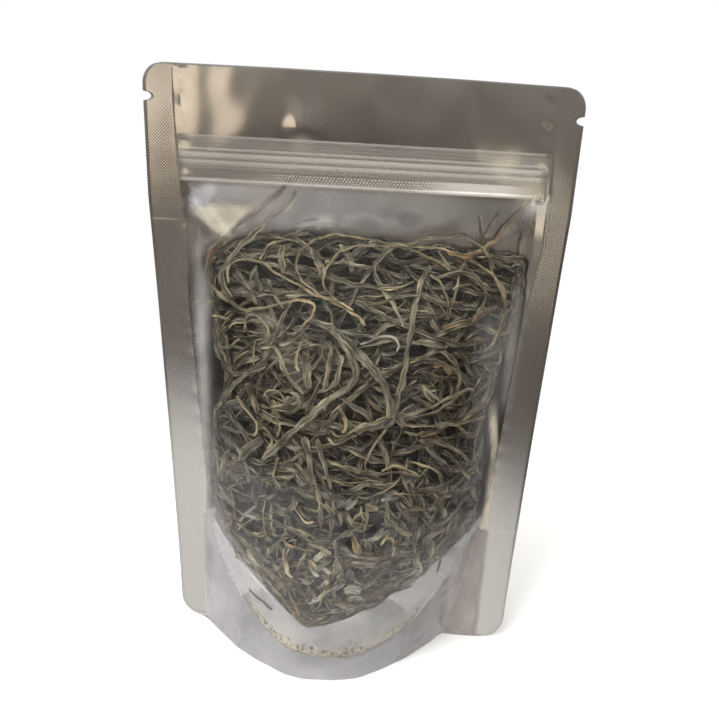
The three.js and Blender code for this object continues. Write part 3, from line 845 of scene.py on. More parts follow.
# ---------------------------------------------------------------- the kelp
# Room kept free in front of the foil, and the share of a thinner room that is filled instead.
FOIL_ROOM = 1.6
THIN_SHARE = 0.4


def heap_depth(x, z, depth):
    """A depth under the front film, kept short of the foil where the pouch is thin."""
    room = foil_back(x, z) - film_front(x, z) - 2.0 * FILM
    return np.minimum(depth, np.maximum(room - FOIL_ROOM, THIN_SHARE * room))


def face_points(x, z, depth):
    """Points at a depth under the front film."""
    y = film_front(x, z) + FILM + 2.0 * KELP_GAP + heap_depth(x, z, depth)
    return np.stack([x, y, z], -1)


def unit(vectors):
    """The directions of vectors, each of length 1."""
    return vectors / np.maximum(np.linalg.norm(vectors, axis=-1, keepdims=True), 1e-9)


def face_normals(x, z):
    """Outward directions of the front film."""
    slope_x = (front_y(x + 1.0, z) - front_y(x - 1.0, z)) / 2.0
    slope_z = (front_y(x, z + 1.0) - front_y(x, z - 1.0)) / 2.0
    return unit(np.stack([slope_x, np.full_like(slope_x, -1.0), slope_z], -1))


FIRST_DISTANCE = 200.0
ROUNDS = 20


def seen_at(pixels, depth):
    """Places x and z on the surface at a depth under the front film, seen through the camera at
    its pixels. They are found in rounds, from a first distance off the camera."""
    forward, right, down = camera_axes()
    pixels = np.asarray(pixels, float)
    across = (pixels[:, :1] - PICTURE_CENTRE) / FOCAL_PIXELS
    below = (pixels[:, 1:] - PICTURE_CENTRE) / FOCAL_PIXELS
    ray = forward + across * right + below * down
    far = np.full(len(pixels), FIRST_DISTANCE)
    for _ in range(ROUNDS):
        place = CAMERA_AT + ray * far[:, None]
        x, z = place[:, 0], place[:, 2]
        goal = front_y(x, z) + heap_depth(x, z, depth)
        far = (goal - CAMERA_AT[1]) / ray[:, 1]
    return x, z


def run_along(points):
    """Distance along a line of points, at each of them."""
    steps = np.linalg.norm(np.diff(points, axis=0), axis=1)
    return np.concatenate([[0.0], np.cumsum(steps)])


def through(values, count):
    """A smooth curve through the rows of values, as count points about evenly apart."""
    values = np.asarray(values, float)
    padded = np.concatenate([2 * values[:1] - values[1:2], values, 2 * values[-1:] - values[-2:-1]])
    length = run_along(values[:, :2])
    wanted = np.linspace(0.0, length[-1], count)
    part = np.clip(np.searchsorted(length, wanted, side="right") - 1, 0, len(values) - 2)
    t = ((wanted - length[part]) / np.maximum(length[part + 1] - length[part], 1e-9))[:, None]
    p0, p1, p2, p3 = (padded[part + k] for k in range(4))
    return 0.5 * (2 * p1 + (p2 - p0) * t + (2 * p0 - 5 * p1 + 4 * p2 - p3) * t ** 2
                  + (3 * p1 - p0 - 3 * p2 + p3) * t ** 3)


def crooked(x, z, step, draw):
    """A path whose points are step apart, with small crooks added."""
    crook = draw.uniform(0.0, 2.0 * math.pi, 4)
    run = np.arange(len(x)) * step
    x = x + 0.13 * np.sin(run / 0.9 + crook[0]) + 0.16 * np.sin(run / 2.1 + crook[1])
    z = z + 0.13 * np.sin(run / 1.1 + crook[2]) + 0.16 * np.sin(run / 1.9 + crook[3])
    return x, z


# A ribbon's section: places across it from -1 to 1, and the side that each is on.
SECTION = np.array([(-1.0, 0.0), (-0.72, 0.5), (0.0, 0.5), (0.72, 0.5),
                    (1.0, 0.0), (0.72, -0.5), (0.0, -0.5), (-0.72, -0.5)])
ACROSS = SECTION[:, 0][None, :]
# A torn edge wanders once in this many millimetres, by this share of the ribbon's width.
TORN_PITCH = 1.4
TORN_SHARE = 0.15
LEAST_DEPTH = 0.25


def ragged(draw, run):
    """How far a torn edge wanders along a run, in shares of the ribbon's width."""
    knots = np.arange(0.0, run[-1] + 2.0 * TORN_PITCH, TORN_PITCH)
    return np.interp(run, knots, draw.normal(0.0, TORN_SHARE, len(knots)))[:, None]


def kept_inside(ring):
    """A ribbon's points, kept between the front film and the foil."""
    nearest = film_front(ring[:, :, 0], ring[:, :, 2]) + FILM + KELP_GAP
    farthest = foil_back(ring[:, :, 0], ring[:, :, 2]) - FILM - KELP_GAP
    ring[:, :, 1] = np.clip(ring[:, :, 1], nearest, np.maximum(farthest, nearest + 0.01))
    return ring


class Bundle:
    """Ribbons gathered into one mesh."""

    def __init__(self, name):
        self.name = name
        self.points, self.faces, self.strip, self.shade, self.bloom = [], [], [], [], []
        self.count = 0

    def add_ribbon(self, x, z, depth, width, draw, look, step):
        """Lays one ribbon along places x, z at depths under the film, with its sections about
        step apart. look holds its tone, brown, rim, curl, thickness, roll and frill, and it may
        hold how pale it is all over and its bloom of salt."""
        length = np.sum(np.hypot(np.diff(x), np.diff(z)))
        x, z, depth = through(np.stack([x, z, depth], 1), int(max(6, length / step))).T
        x, z = crooked(x, z, step, draw)
        centre = face_points(x, z, np.maximum(depth, LEAST_DEPTH))
        gone = run_along(centre)
        along = unit(np.gradient(centre, axis=0))
        side = unit(np.cross(along, face_normals(x, z)))
        up = np.cross(side, along)
        phase = draw.uniform(0.0, 2.0 * math.pi, 5)
        roll = look["roll"] * np.sin(gone / draw.uniform(5.0, 11.0) + phase[0])[:, None]
        across = side * np.cos(roll) + up * np.sin(roll)
        face = up * np.cos(roll) - side * np.sin(roll)
        ends = np.clip(np.minimum(gone, gone[-1] - gone) / (0.6 * width + 0.3), 0.0, 1.0)
        uneven = 1.0 + 0.16 * np.sin(gone / 3.1 + phase[1]) + 0.1 * np.sin(gone / 1.3 + phase[2])
        half = (0.5 * width * uneven * (0.45 + 0.55 * np.sqrt(ends)))[:, None]
        curl = look["curl"] * (1.0 + 0.5 * np.sin(gone / 4.7 + phase[3]))[:, None]
        frill = look["frill"] * np.sin(gone / 0.9 + phase[4])[:, None] * ACROSS * np.abs(ACROSS)
        lift = half * curl * (ACROSS * ACROSS - 0.3) + frill + SECTION[:, 1] * look["thick"]
        torn = np.where(ACROSS < 0.0, ragged(draw, gone), ragged(draw, gone))
        reach = ACROSS * half * (1.0 + torn)
        ring = (centre[:, None, :] + across[:, None, :] * reach[:, :, None]
                + face[:, None, :] * lift[:, :, None])
        self.add_skin(kept_inside(ring))
        self.add_colours(gone[:, None], half, depth[:, None], draw, look)

    def add_skin(self, ring):
        """Joins a ribbon's sections to each other and closes its two ends."""
        count, ring_size = ring.shape[:2]
        number = self.count + np.arange(count * ring_size).reshape(count, ring_size)
        beside = np.roll(number, -1, axis=1)
        quads = np.stack([number[:-1], number[1:], beside[1:], beside[:-1]], 2)
        self.faces += quads.reshape(-1, 4).tolist()
        self.faces.append(number[0].tolist())
        self.faces.append(number[-1][::-1].tolist())
        self.points.append(ring.reshape(-1, 3))
        self.count += count * ring_size

    def add_colours(self, gone, half, depth, draw, look):
        """Holds for each point its place on the ribbon in millimetres, how pale, light and brown
        it is, and its bloom. One rim is paler than the other and the flesh by the other is darker,
        as painted light from one side, and both darken with depth as painted shade."""
        strip = np.stack(np.broadcast_arrays(ACROSS * half, gone, draw.uniform(0.0, 100.0)), 2)
        lit = np.exp(-0.12 * np.maximum(depth - 1.0, 0.0))
        # One side gets the paler rim and lighter flesh: painted light from that side.
        rims = np.where(ACROSS < 0.0, *draw.permutation([1.0, draw.uniform(0.1, 0.9)]))
        pale = (look.get("pale", 0.0) + look["rim"] * rims * np.abs(ACROSS) ** 4) * lit
        tone = look["tone"] * np.where(rims < 1.0, 0.75, 1.0)
        shade = np.stack(np.broadcast_arrays(pale, tone, look["brown"]), 2)
        self.strip.append(strip.reshape(-1, 3))
        self.shade.append(shade.reshape(-1, 3))
        self.bloom.append(np.full(pale.size, look.get("bloom", 0.0)))

    def finish(self, material):
        layers = {"strip": np.concatenate(self.strip), "shade": np.concatenate(self.shade),
                  "bloom": np.concatenate(self.bloom)}
        mesh_piece(self.name, np.concatenate(self.points), self.faces, material, "kelp",
                   layers)


def inside_heap(x, z):
    """Whether a place is within the heap's outline on the front."""
    left = np.interp(z, *HEAP_LEFT_SIDE)
    right = np.interp(z, *HEAP_RIGHT_SIDE)
    return left < x < right and heap_low(x) + 1.0 < z < heap_high(x) - 1.0


def edge_path(draw, x, length, lift):
    """A path along the heap's lower edge, starting at x and a little above the edge."""
    run = np.arange(0.0, length, 2.5)
    x = np.minimum(x + run * 0.85, 46.0 + run * 0.02)
    return np.stack([x, heap_low(x) + lift + draw.normal(0.0, 0.5, len(run))], 1)


# A wandering path: its step, the share of paths that turn at the heap's outline, how many turns
# they try there, and each turn in radians.
WANDER_STEP = 3.0
TURNING_SHARE = 0.6
MOST_TURNS = 20
TURN = 0.3


def wander(draw, x, z, heading, bend, drift, length):
    """A path over the heap from a place, which bends as it goes. At the heap's outline most paths
    turn away, and the rest end."""
    path = []
    turns = MOST_TURNS if draw.random() < TURNING_SHARE else 0
    for _ in range(int(length / WANDER_STEP)):
        for _ in range(turns + 1):
            ahead = (x + WANDER_STEP * math.cos(heading), z + WANDER_STEP * math.sin(heading))
            if inside_heap(*ahead):
                break
            heading += TURN * (1.0 if bend > 0.0 else -1.0)
        else:
            break
        x, z = ahead
        path.append((x, z))
        heading += bend * WANDER_STEP + draw.normal(0.0, 0.05)
        bend += drift * WANDER_STEP
    return path


# The kinds of strip in each part of the heap: how many, from what height to what height, their
# mean length and width, how far from level they run, how much they bend, how deep they lie, how
# pale their rims are, how far they curl up, and the step between their sections. In the base some
# lie along the lower edge, and some chips carry a bloom of salt, as a share of them.
ZONES = [
    dict(name="deep", count=150, low=26, high=154, length=42, width=3.0, steep=1.57, bend=0.03,
         depth=(4.5, 8.5), rim=0.5, curl=(0.1, 0.6), step=1.1),
    dict(name="top", count=120, low=112, high=155, length=58, width=1.4, steep=0.7, bend=0.025,
         depth=(1.5, 6.5), rim=1.2, curl=(0.15, 0.8), step=0.9),
    dict(name="middle", count=140, low=66, high=122, length=38, width=2.1, steep=1.3, bend=0.045,
         depth=(1.4, 6.0), rim=1.2, curl=(0.15, 0.9), step=0.8),
    dict(name="base", count=190, low=24, high=74, length=24, width=2.4, steep=1.57, bend=0.07,
         depth=(1.1, 5.0), rim=1.3, curl=(0.2, 1.1), step=0.8, edge=0.3),
    dict(name="chips", count=110, low=26, high=78, length=9, width=2.7, steep=1.57, bend=0.12,
         depth=(0.5, 2.4), rim=1.3, curl=(0.5, 1.5), step=0.7, bloom=0.4),
]
BROWN_SHARE = 0.08


def loose_path(draw, zone):
    """The path of one loose strip: both ways from a place in its zone, or along the heap's lower
    edge."""
    z = draw.uniform(zone["low"], zone["high"])
    x = draw.uniform(-48.5, 51.5)
    if not inside_heap(x, z):
        x = draw.uniform(-30.0, 30.0)
        z = max(z, float(heap_low(x)) + 3.0)
    heading = draw.normal(0.0, zone["steep"] * 0.6)
    bend = draw.normal(0.0, zone["bend"])
    drift = draw.normal(0.0, zone["bend"] * 0.04)
    length = zone["length"] * draw.lognormal(0.0, 0.3)
    there = wander(draw, x, z, heading, bend, drift, length / 2)
    back = wander(draw, x, z, heading + math.pi, -bend, drift, length / 2)
    if draw.random() < zone.get("edge", 0.0):
        return edge_path(draw, draw.uniform(-47.5, 40.0), length, draw.uniform(0.6, 5.0))
    return np.array(back[::-1] + [(x, z)] + there)


def loose_depth(draw, zone, level, count):
    """Depths along a loose strip: it waves in and out about its level, and its ends dive."""
    at = np.linspace(0.0, 1.0, count)
    waves = draw.uniform(2.0, 5.0) + zone["length"] / 14.0
    depth = level + 1.5 * np.sin(at * waves + draw.uniform(0, 6))
    depth = depth + 2.2 * np.abs(2.0 * at - 1.0) ** 4 * draw.uniform(0.0, 1.0)
    return np.maximum(depth, zone["depth"][0])


def loose_look(draw, zone, level, width):
    """The look of a loose strip, darker the deeper it lies, as painted shade. A few are brown."""
    brown = draw.uniform(0.35, 0.9) if draw.random() < BROWN_SHARE else draw.uniform(0.0, 0.15)
    shaded = math.exp(-0.28 * level)
    return dict(tone=1.35 * draw.random() ** 1.3 * shaded, brown=brown * shaded,
                rim=zone["rim"] * draw.uniform(0.4, 1.0), curl=draw.uniform(*zone["curl"]),
                thick=draw.uniform(0.2, 0.4), roll=draw.uniform(0.2, 1.2), frill=0.08 * width,
                bloom=draw.uniform(0.2, 0.8) if draw.random() < zone.get("bloom", 0.0) else 0.0)


def add_loose_strips(material):
    draw = np.random.default_rng(SEED)
    for zone in ZONES:
        bundle = Bundle("kelp_" + zone["name"])
        for _ in range(zone["count"]):
            path = loose_path(draw, zone)
            if len(path) < 3:
                continue
            level = draw.uniform(*zone["depth"])
            depth = loose_depth(draw, zone, level, len(path))
            width = zone["width"] * draw.lognormal(0.0, 0.35)
            look = loose_look(draw, zone, level, width)
            bundle.add_ribbon(path[:, 0], path[:, 1], depth, width, draw, look, zone["step"])
        bundle.finish(material)


CORE_REACH = 43.0
CORE_TOP_GAP = 9.0
CORE_DEPTH = 7.0


def add_core(material):
    """The dark inside of the heap, behind the strips that show. Its back slopes down to the
    gusset film and comes forward at its top."""
    columns = np.linspace(-1.0, 1.0, 70)[None, :]
    rows = np.linspace(0.0, 1.0, 90)[:, None]
    x = columns * CORE_REACH * np.ones_like(rows)
    low = heap_low(x) + 2.0
    z = low + rows * (heap_high(x) - CORE_TOP_GAP - low)
    front = film_front(x, z) + heap_depth(x, z, CORE_DEPTH + 1.2 * ripple(x, z, 9.0, 41))
    z_back = z - (1.0 - rows) * (low - gusset_height(x, 1.0) - 1.5) - 8.0 * rows
    back = np.maximum(foil_back(x, z_back) - 1.0, front + 0.5)
    points, faces = shell(np.stack([x, front, z], 2), np.stack([x, back, z_back], 2))
    mesh_piece("kelp_core", points, faces, material, "kelp")


# ---------------------------------------------------------------- strands that stand out
# Looks of a strand: how light its flesh is, how brown, how pale its rims, how pale all over, and
# how much salt has bloomed on it.
LOOKS = {
    "dark": dict(tone=0.15, brown=0.1, rim=0.5, pale=0.0),
    "olive": dict(tone=0.7, brown=0.15, rim=0.9, pale=0.0),
    "grey": dict(tone=1.0, brown=0.0, rim=0.7, pale=0.1),
    "tan": dict(tone=0.9, brown=0.2, rim=1.1, pale=0.12),
    "pale": dict(tone=0.9, brown=0.12, rim=1.5, pale=0.55),
    "blade": dict(tone=0.85, brown=0.06, rim=0.7, pale=0.0),
    "white": dict(tone=1.0, brown=0.0, rim=1.0, pale=0.0, bloom=0.6),
    "mottled": dict(tone=0.45, brown=0.12, rim=0.7, pale=0.0),
    "brown": dict(tone=0.8, brown=0.85, rim=0.8, pale=0.05),
    "stalk": dict(tone=0.2, brown=0.62, rim=0.5, pale=0.0),
    "rust": dict(tone=1.0, brown=1.0, rim=0.6, pale=0.3),
}

# Each strand: its look, its depth under the film in millimetres, its width in units of which
# WIDTH_UNITS make a millimetre, and the camera's pixels that it runs through.
TOP_STRANDS = [
    ("stalk", 0.2, 6.5, [(298, 173), (262, 208), (240, 224), (222, 241), (211, 256), (208, 270),
                         (211, 284)]),
    ("olive", 0.3, 5, [(209, 274), (212, 286), (223, 296), (235, 306), (245, 311), (254, 311)]),
    ("pale", 0.3, 3.5, [(245, 311), (262, 309), (285, 303), (302, 301), (312, 303), (315, 311),
                        (308, 322), (300, 332)]),
    ("mottled", 0.7, 7, [(297, 192), (292, 202), (268, 222), (252, 236), (236, 252), (226, 266),
                         (222, 278), (232, 300)]),
    ("pale", 0.3, 3.2, [(229, 283), (228, 272), (233, 263), (243, 260), (258, 262), (290, 281),
                        (318, 296), (345, 309), (356, 316), (366, 326)]),
    ("pale", 0.4, 2.5, [(260, 260), (268, 248), (278, 241), (290, 240), (300, 243)]),
    ("tan", 0.5, 3.5, [(257, 266), (252, 278), (252, 290), (256, 305)]),
    ("tan", 0.6, 3.5, [(268, 280), (275, 295), (282, 308)]),
    ("pale", 0.25, 3, [(340, 303), (325, 297), (305, 284), (299, 275), (297, 262), (300, 252),
                       (308, 244), (320, 238), (340, 235), (360, 238), (400, 245), (440, 249),
                       (462, 257), (488, 270), (496, 279), (503, 292), (506, 308), (502, 325),
                       (494, 342), (485, 352)]),
    ("pale", 0.5, 2.5, [(354, 311), (332, 297), (326, 288), (324, 278), (326, 270), (340, 253),
                        (356, 247), (380, 246), (410, 249), (435, 261), (452, 270)]),
    ("tan", 0.5, 3, [(244, 330), (246, 320), (253, 315), (261, 318), (267, 327), (270, 338)]),
    ("grey", 0.8, 8, [(312, 248), (322, 268), (324, 280)]),
    ("olive", 1.0, 7, [(283, 245), (282, 260), (285, 275)]),
    ("rust", 0.2, 6, [(532, 199), (525, 205), (515, 218), (505, 230), (495, 242), (483, 250),
                      (470, 256), (448, 254)]),
    ("olive", 0.7, 3, [(480, 216), (487, 245), (490, 260), (496, 278), (500, 290)]),
    ("olive", 0.8, 3, [(502, 210), (494, 222), (488, 235), (484, 246)]),
    ("tan", 0.4, 3, [(402, 247), (430, 239), (460, 237), (482, 247), (490, 260), (495, 270)]),
    ("grey", 0.4, 7, [(432, 267), (424, 278), (418, 296), (414, 315), (410, 340), (405, 370),
                      (398, 402), (393, 416)]),
    ("grey", 0.6, 5.5, [(395, 248), (382, 256), (374, 268), (378, 280), (385, 292), (400, 316),
                        (406, 328)]),
    ("pale", 0.3, 2.5, [(378, 290), (395, 289), (416, 282)]),
    ("tan", 0.5, 4, [(430, 275), (440, 282), (446, 292), (449, 305), (448, 318)]),
    ("tan", 0.6, 4, [(466, 262), (461, 275), (457, 290), (452, 305), (448, 320)]),
    ("olive", 0.4, 5, [(437, 279), (450, 274), (465, 274), (478, 279), (485, 290), (485, 303),
                       (472, 322), (448, 330)]),
    ("tan", 0.5, 2.5, [(453, 290), (460, 286), (472, 286), (481, 292)]),
    ("brown", 0.6, 7, [(443, 329), (455, 325), (470, 322), (491, 310)]),
    ("olive", 0.5, 5, [(465, 340), (475, 332), (488, 325)]),
    ("olive", 0.9, 6, [(500, 280), (505, 300), (505, 320), (490, 352)]),
    ("dark", 0.8, 4, [(523, 232), (519, 255), (521, 275)]),
    ("brown", 0.6, 4, [(525, 272), (520, 290), (515, 310)]),
    ("olive", 0.6, 5, [(325, 262), (360, 266), (410, 278)]),
    ("olive", 0.5, 5, [(310, 275), (340, 280), (360, 286), (400, 287)]),
    ("tan", 0.5, 3, [(355, 300), (380, 303), (400, 297), (420, 295)]),
    ("grey", 0.6, 4, [(285, 296), (310, 295), (330, 293)]),
    ("olive", 0.6, 6, [(355, 302), (375, 312), (415, 330), (455, 344), (466, 345)]),
    ("grey", 0.5, 7, [(362, 345), (380, 342), (400, 340), (420, 343), (445, 346)]),
    ("white", 0.2, 3, [(361, 345), (369, 342), (380, 338), (394, 338), (399, 345), (397, 353)]),
    ("white", 0.2, 4, [(397, 353), (389, 354), (382, 354)]),
    ("dark", 1.2, 5, [(195, 303), (205, 302), (215, 304)]),
    ("tan", 0.8, 4, [(212, 316), (221, 318), (230, 321)]),
    ("dark", 0.8, 6, [(276, 240), (268, 250), (262, 262)]),
    ("grey", 1.0, 6, [(340, 245), (350, 258), (352, 272)]),
    ("dark", 0.8, 5, [(292, 238), (302, 230), (318, 227)]),
]
LEFT_STRANDS = [
    ("tan", 0.4, 3.5, [(227, 327), (220, 334), (218, 342), (222, 348), (232, 346), (240, 340)]),
    ("pale", 0.4, 2.5, [(256, 340), (254, 352), (254, 366)]),
    ("olive", 0.5, 5, [(310, 325), (300, 333), (292, 340), (280, 346)]),
    ("grey", 0.5, 6, [(260, 350), (272, 346), (278, 352), (282, 362), (288, 376), (305, 395)]),
    ("pale", 0.3, 3, [(303, 341), (300, 346), (298, 356), (297, 366), (300, 372)]),
    ("olive", 0.6, 9, [(303, 352), (307, 362), (308, 375), (309, 390)]),
    ("grey", 0.4, 4, [(310, 346), (320, 347), (321, 356), (315, 366), (312, 371)]),
    ("tan", 0.5, 6, [(326, 341), (331, 347), (331, 360), (325, 388)]),
    ("grey", 0.6, 6, [(340, 356), (341, 362), (336, 383), (328, 390), (318, 393)]),
    ("blade", 0.25, 9.5, [(331, 326), (340, 340), (350, 352), (356, 374), (352, 384), (340, 394),
                          (325, 405), (298, 428), (272, 452), (262, 460)]),
    ("grey", 0.5, 6, [(266, 366), (252, 372), (241, 378), (232, 388), (226, 398)]),
    ("olive", 0.7, 10, [(248, 382), (254, 395), (258, 412)]),
    ("pale", 0.4, 2.5, [(264, 398), (268, 392), (276, 391), (283, 397), (285, 402)]),
    ("grey", 0.3, 4, [(290, 392), (297, 396), (296, 406), (289, 409), (285, 402), (290, 397)]),
    ("grey", 0.5, 4, [(284, 412), (294, 414), (300, 405), (297, 394)]),
    ("pale", 0.4, 2.5, [(270, 408), (277, 406), (284, 405)]),
    ("pale", 0.4, 4, [(238, 396), (243, 405), (252, 417), (257, 423), (258, 432), (254, 438)]),
    ("tan", 0.6, 3.5, [(262, 428), (269, 434), (272, 442), (268, 450)]),
    ("grey", 0.5, 4, [(276, 412), (279, 425), (277, 438)]),
    ("olive", 0.8, 6, [(222, 402), (215, 412), (214, 425), (217, 440), (220, 460)]),
    ("blade", 0.5, 12, [(240, 460), (250, 448), (262, 440)]),
    ("grey", 0.7, 8, [(228, 452), (224, 466), (222, 480)]),
    ("olive", 0.6, 7, [(246, 462), (248, 472), (250, 484)]),
    ("pale", 0.3, 4, [(279, 458), (276, 468), (275, 480), (280, 488)]),
    ("grey", 0.4, 4, [(281, 470), (286, 463), (297, 457), (304, 453)]),
    ("tan", 0.4, 4, [(295, 464), (301, 470), (308, 478), (309, 486), (305, 488)]),
    ("olive", 0.5, 9, [(304, 438), (308, 450), (311, 465), (313, 480), (315, 490)]),
    ("grey", 0.5, 6, [(318, 440), (322, 455), (326, 470), (332, 490)]),
    ("pale", 0.3, 3.5, [(339, 405), (343, 413), (346, 422), (346, 430), (342, 433)]),
    ("tan", 0.4, 3, [(331, 431), (338, 437), (347, 436), (355, 432), (365, 428)]),
    ("olive", 0.6, 4, [(328, 438), (335, 443), (345, 441), (358, 436)]),
    ("grey", 0.4, 3.5, [(330, 460), (345, 468), (362, 474)]),
]
RIGHT_STRANDS = [
    ("blade", 0.3, 12.5, [(340, 335), (352, 348), (365, 360), (378, 376), (388, 395), (391, 418),
                          (380, 424), (355, 433)]),
    ("rust", 0.4, 3, [(411, 362), (420, 360), (430, 361)]),
    ("rust", 0.5, 7, [(434, 368), (442, 365), (449, 370), (451, 376)]),
    ("rust", 0.4, 3, [(405, 390), (412, 384), (418, 380)]),
    ("rust", 0.5, 6, [(420, 437), (429, 434), (438, 432)]),
    ("olive", 0.6, 6, [(440, 352), (450, 356), (457, 366), (460, 380), (455, 400)]),
    ("dark", 0.8, 5, [(455, 352), (465, 360), (470, 372), (475, 380)]),
    ("tan", 0.4, 4, [(422, 387), (430, 400), (434, 404)]),
    ("grey", 0.5, 4, [(423, 386), (432, 395), (440, 400)]),
    ("tan", 0.3, 4.5, [(405, 418), (420, 412), (435, 405), (450, 399), (468, 390), (475, 392)]),
    ("grey", 0.5, 4, [(410, 420), (430, 414), (445, 406), (455, 402)]),
    ("tan", 0.4, 4, [(400, 426), (420, 426), (440, 425), (460, 424), (487, 418)]),
    ("grey", 0.5, 4, [(405, 434), (415, 435), (424, 432)]),
    ("grey", 0.3, 3, [(391, 425), (382, 437), (373, 447), (368, 458), (366, 466), (369, 472)]),
    ("olive", 0.6, 4, [(355, 473), (375, 474), (400, 473), (420, 478), (429, 467)]),
    ("pale", 0.4, 3, [(382, 472), (388, 468), (400, 467), (420, 478)]),
    ("pale", 0.4, 3, [(405, 462), (420, 465), (440, 473)]),
    ("olive", 0.5, 5, [(420, 441), (440, 442), (455, 449), (465, 458), (472, 464)]),
    ("grey", 0.5, 5, [(456, 460), (462, 470), (470, 480)]),
    ("olive", 0.6, 5, [(500, 345), (495, 352), (480, 358)]),
    ("grey", 0.6, 3, [(484, 418), (478, 435), (475, 455), (480, 475), (482, 480)]),
    ("olive", 0.5, 6, [(350, 492), (364, 486), (381, 487), (398, 483)]),
    ("pale", 0.3, 2.5, [(394, 492), (405, 499), (413, 507)]),
    ("olive", 0.5, 6, [(414, 491), (422, 501), (424, 512), (432, 519)]),
    ("pale", 0.3, 2.2, [(437, 499), (435, 505), (429, 511)]),
    ("grey", 0.5, 6, [(439, 500), (443, 512), (446, 519)]),
]
BASE_STRANDS = [
    ("pale", 0.3, 2.7, [(295, 501), (296, 510), (299, 516), (306, 524), (314, 523)]),
    ("tan", 0.4, 6.4, [(316, 480), (320, 500), (322, 527)]),
    ("grey", 0.5, 4.8, [(272, 503), (271, 517), (272, 531)]),
    ("pale", 0.3, 2, [(265, 500), (264, 515), (264, 528), (267, 538), (273, 542)]),
    ("grey", 0.5, 4, [(248, 517), (260, 519), (280, 525), (296, 532), (305, 538)]),
    ("pale", 0.4, 2.5, [(239, 530), (245, 525), (253, 521)]),
    ("grey", 0.6, 6, [(286, 535), (277, 543), (271, 549), (268, 559)]),
    ("rust", 0.3, 3.5, [(284, 541), (290, 546), (299, 548), (313, 551)]),
    ("pale", 0.3, 4.5, [(284, 549), (286, 561), (289, 572), (293, 577)]),
    ("olive", 0.5, 4, [(305, 552), (303, 561), (298, 572), (296, 580)]),
    ("pale", 0.3, 6, [(320, 550), (326, 553), (331, 555)]),
    ("pale", 0.3, 7, [(310, 561), (314, 566), (318, 571)]),
    ("grey", 0.5, 5, [(336, 540), (337, 555), (340, 570), (344, 577)]),
    ("tan", 0.4, 4, [(307, 571), (308, 582), (313, 593), (316, 599)]),
    ("rust", 0.3, 4.5, [(250, 554), (261, 564), (274, 574), (282, 581), (288, 592), (301, 615)]),
    ("white", 0.25, 10, [(314, 561), (322, 556), (331, 552)]),
    ("white", 0.3, 10, [(316, 571), (324, 568), (331, 573)]),
    ("white", 0.3, 7, [(309, 566), (315, 574), (319, 577)]),
    ("white", 0.3, 12, [(345, 591), (353, 589), (362, 592)]),
    ("white", 0.3, 9, [(348, 600), (356, 598), (363, 602)]),
    ("white", 0.3, 4, [(236, 510), (246, 516), (258, 520)]),
    ("white", 0.3, 4, [(240, 522), (248, 513), (256, 508)]),
    ("white", 0.3, 3, [(365, 563), (370, 567), (376, 566)]),
    ("grey", 0.4, 6, [(352, 562), (372, 567), (392, 561)]),
    ("grey", 0.4, 5, [(362, 590), (376, 578), (390, 566)]),
    ("rust", 0.4, 6, [(293, 612), (299, 616), (304, 620)]),
    ("pale", 0.3, 3, [(313, 613), (320, 605), (322, 596), (328, 591), (333, 589)]),
    ("tan", 0.4, 8, [(345, 592), (352, 595), (359, 598)]),
    ("olive", 0.3, 10, [(423, 542), (432, 535), (445, 529)]),
    ("grey", 0.4, 6, [(387, 499), (388, 510), (387, 520), (388, 526), (393, 527)]),
    ("olive", 0.4, 8, [(398, 503), (405, 512), (409, 519)]),
    ("pale", 0.4, 5, [(395, 523), (400, 531), (407, 536), (413, 534)]),
    ("tan", 0.4, 8, [(366, 508), (372, 509), (379, 510)]),
    ("tan", 0.5, 5, [(366, 512), (367, 522), (366, 531)]),
    ("pale", 0.3, 3.5, [(351, 525), (356, 518), (365, 514)]),
    ("pale", 0.3, 3, [(381, 545), (386, 540), (392, 541), (394, 548), (393, 557)]),
    ("grey", 0.5, 4, [(398, 540), (395, 546), (405, 544), (411, 546)]),
    ("grey", 0.5, 5, [(345, 548), (351, 554), (364, 557), (380, 558), (394, 557)]),
    ("olive", 0.6, 4, [(356, 561), (372, 562), (380, 561)]),
    ("grey", 0.4, 5, [(364, 578), (373, 570), (385, 561)]),
    # This dark strip just under the film is a painted shadow.
    ("dark", 0.05, 3.5, [(249, 589), (258, 599), (265, 605), (272, 610)]),
    ("grey", 0.5, 8, [(226, 527), (238, 544), (250, 558), (262, 571)]),
    ("olive", 0.4, 6, [(229, 528), (242, 539), (254, 551), (266, 560)]),
    ("grey", 0.4, 6, [(266, 578), (275, 591), (285, 603), (292, 612)]),
    ("dark", 0.05, 2.5, [(427, 561), (441, 553), (450, 550), (459, 547)]),
    ("dark", 0.05, 4, [(441, 560), (440, 566), (438, 571)]),
    ("dark", 0.05, 2.5, [(392, 592), (402, 589), (413, 586)]),
]
WIDTH_UNITS = 3.9
STRAND_STEP = 0.6


def add_seen_strands(material):
    draw = np.random.default_rng(SEED + 1)
    for name, strands in (("top", TOP_STRANDS), ("left", LEFT_STRANDS), ("right", RIGHT_STRANDS),
                          ("base", BASE_STRANDS)):
        bundle = Bundle("kelp_strands_" + name)
        for look, depth, units, pixels in strands:
            width = units / WIDTH_UNITS
            x, z = seen_at(pixels, depth)
            at = np.linspace(0.0, 1.0, len(x))
            level = depth + 0.25 + 0.25 * np.sin(at * draw.uniform(3.0, 9.0) + draw.uniform(0, 6))
            lying = dict(LOOKS[look], curl=draw.uniform(0.3, 0.7), thick=draw.uniform(0.22, 0.32),
                         roll=draw.uniform(0.1, 0.35), frill=0.05 * units / WIDTH_UNITS)
            bundle.add_ribbon(x, z, level, width, draw, lying, STRAND_STEP)
        bundle.finish(material)


CRUMBS = 170
CRUMB_DEPTH = 0.18
# Looks of a crumb: tone, brown and paleness.
CRUMB_LOOKS = [(0.2, 0.1, 0.0), (0.8, 0.4, 0.2), (1.0, 0.9, 0.1), (1.0, 0.6, 0.8), (1.0, 0.2, 1.0)]


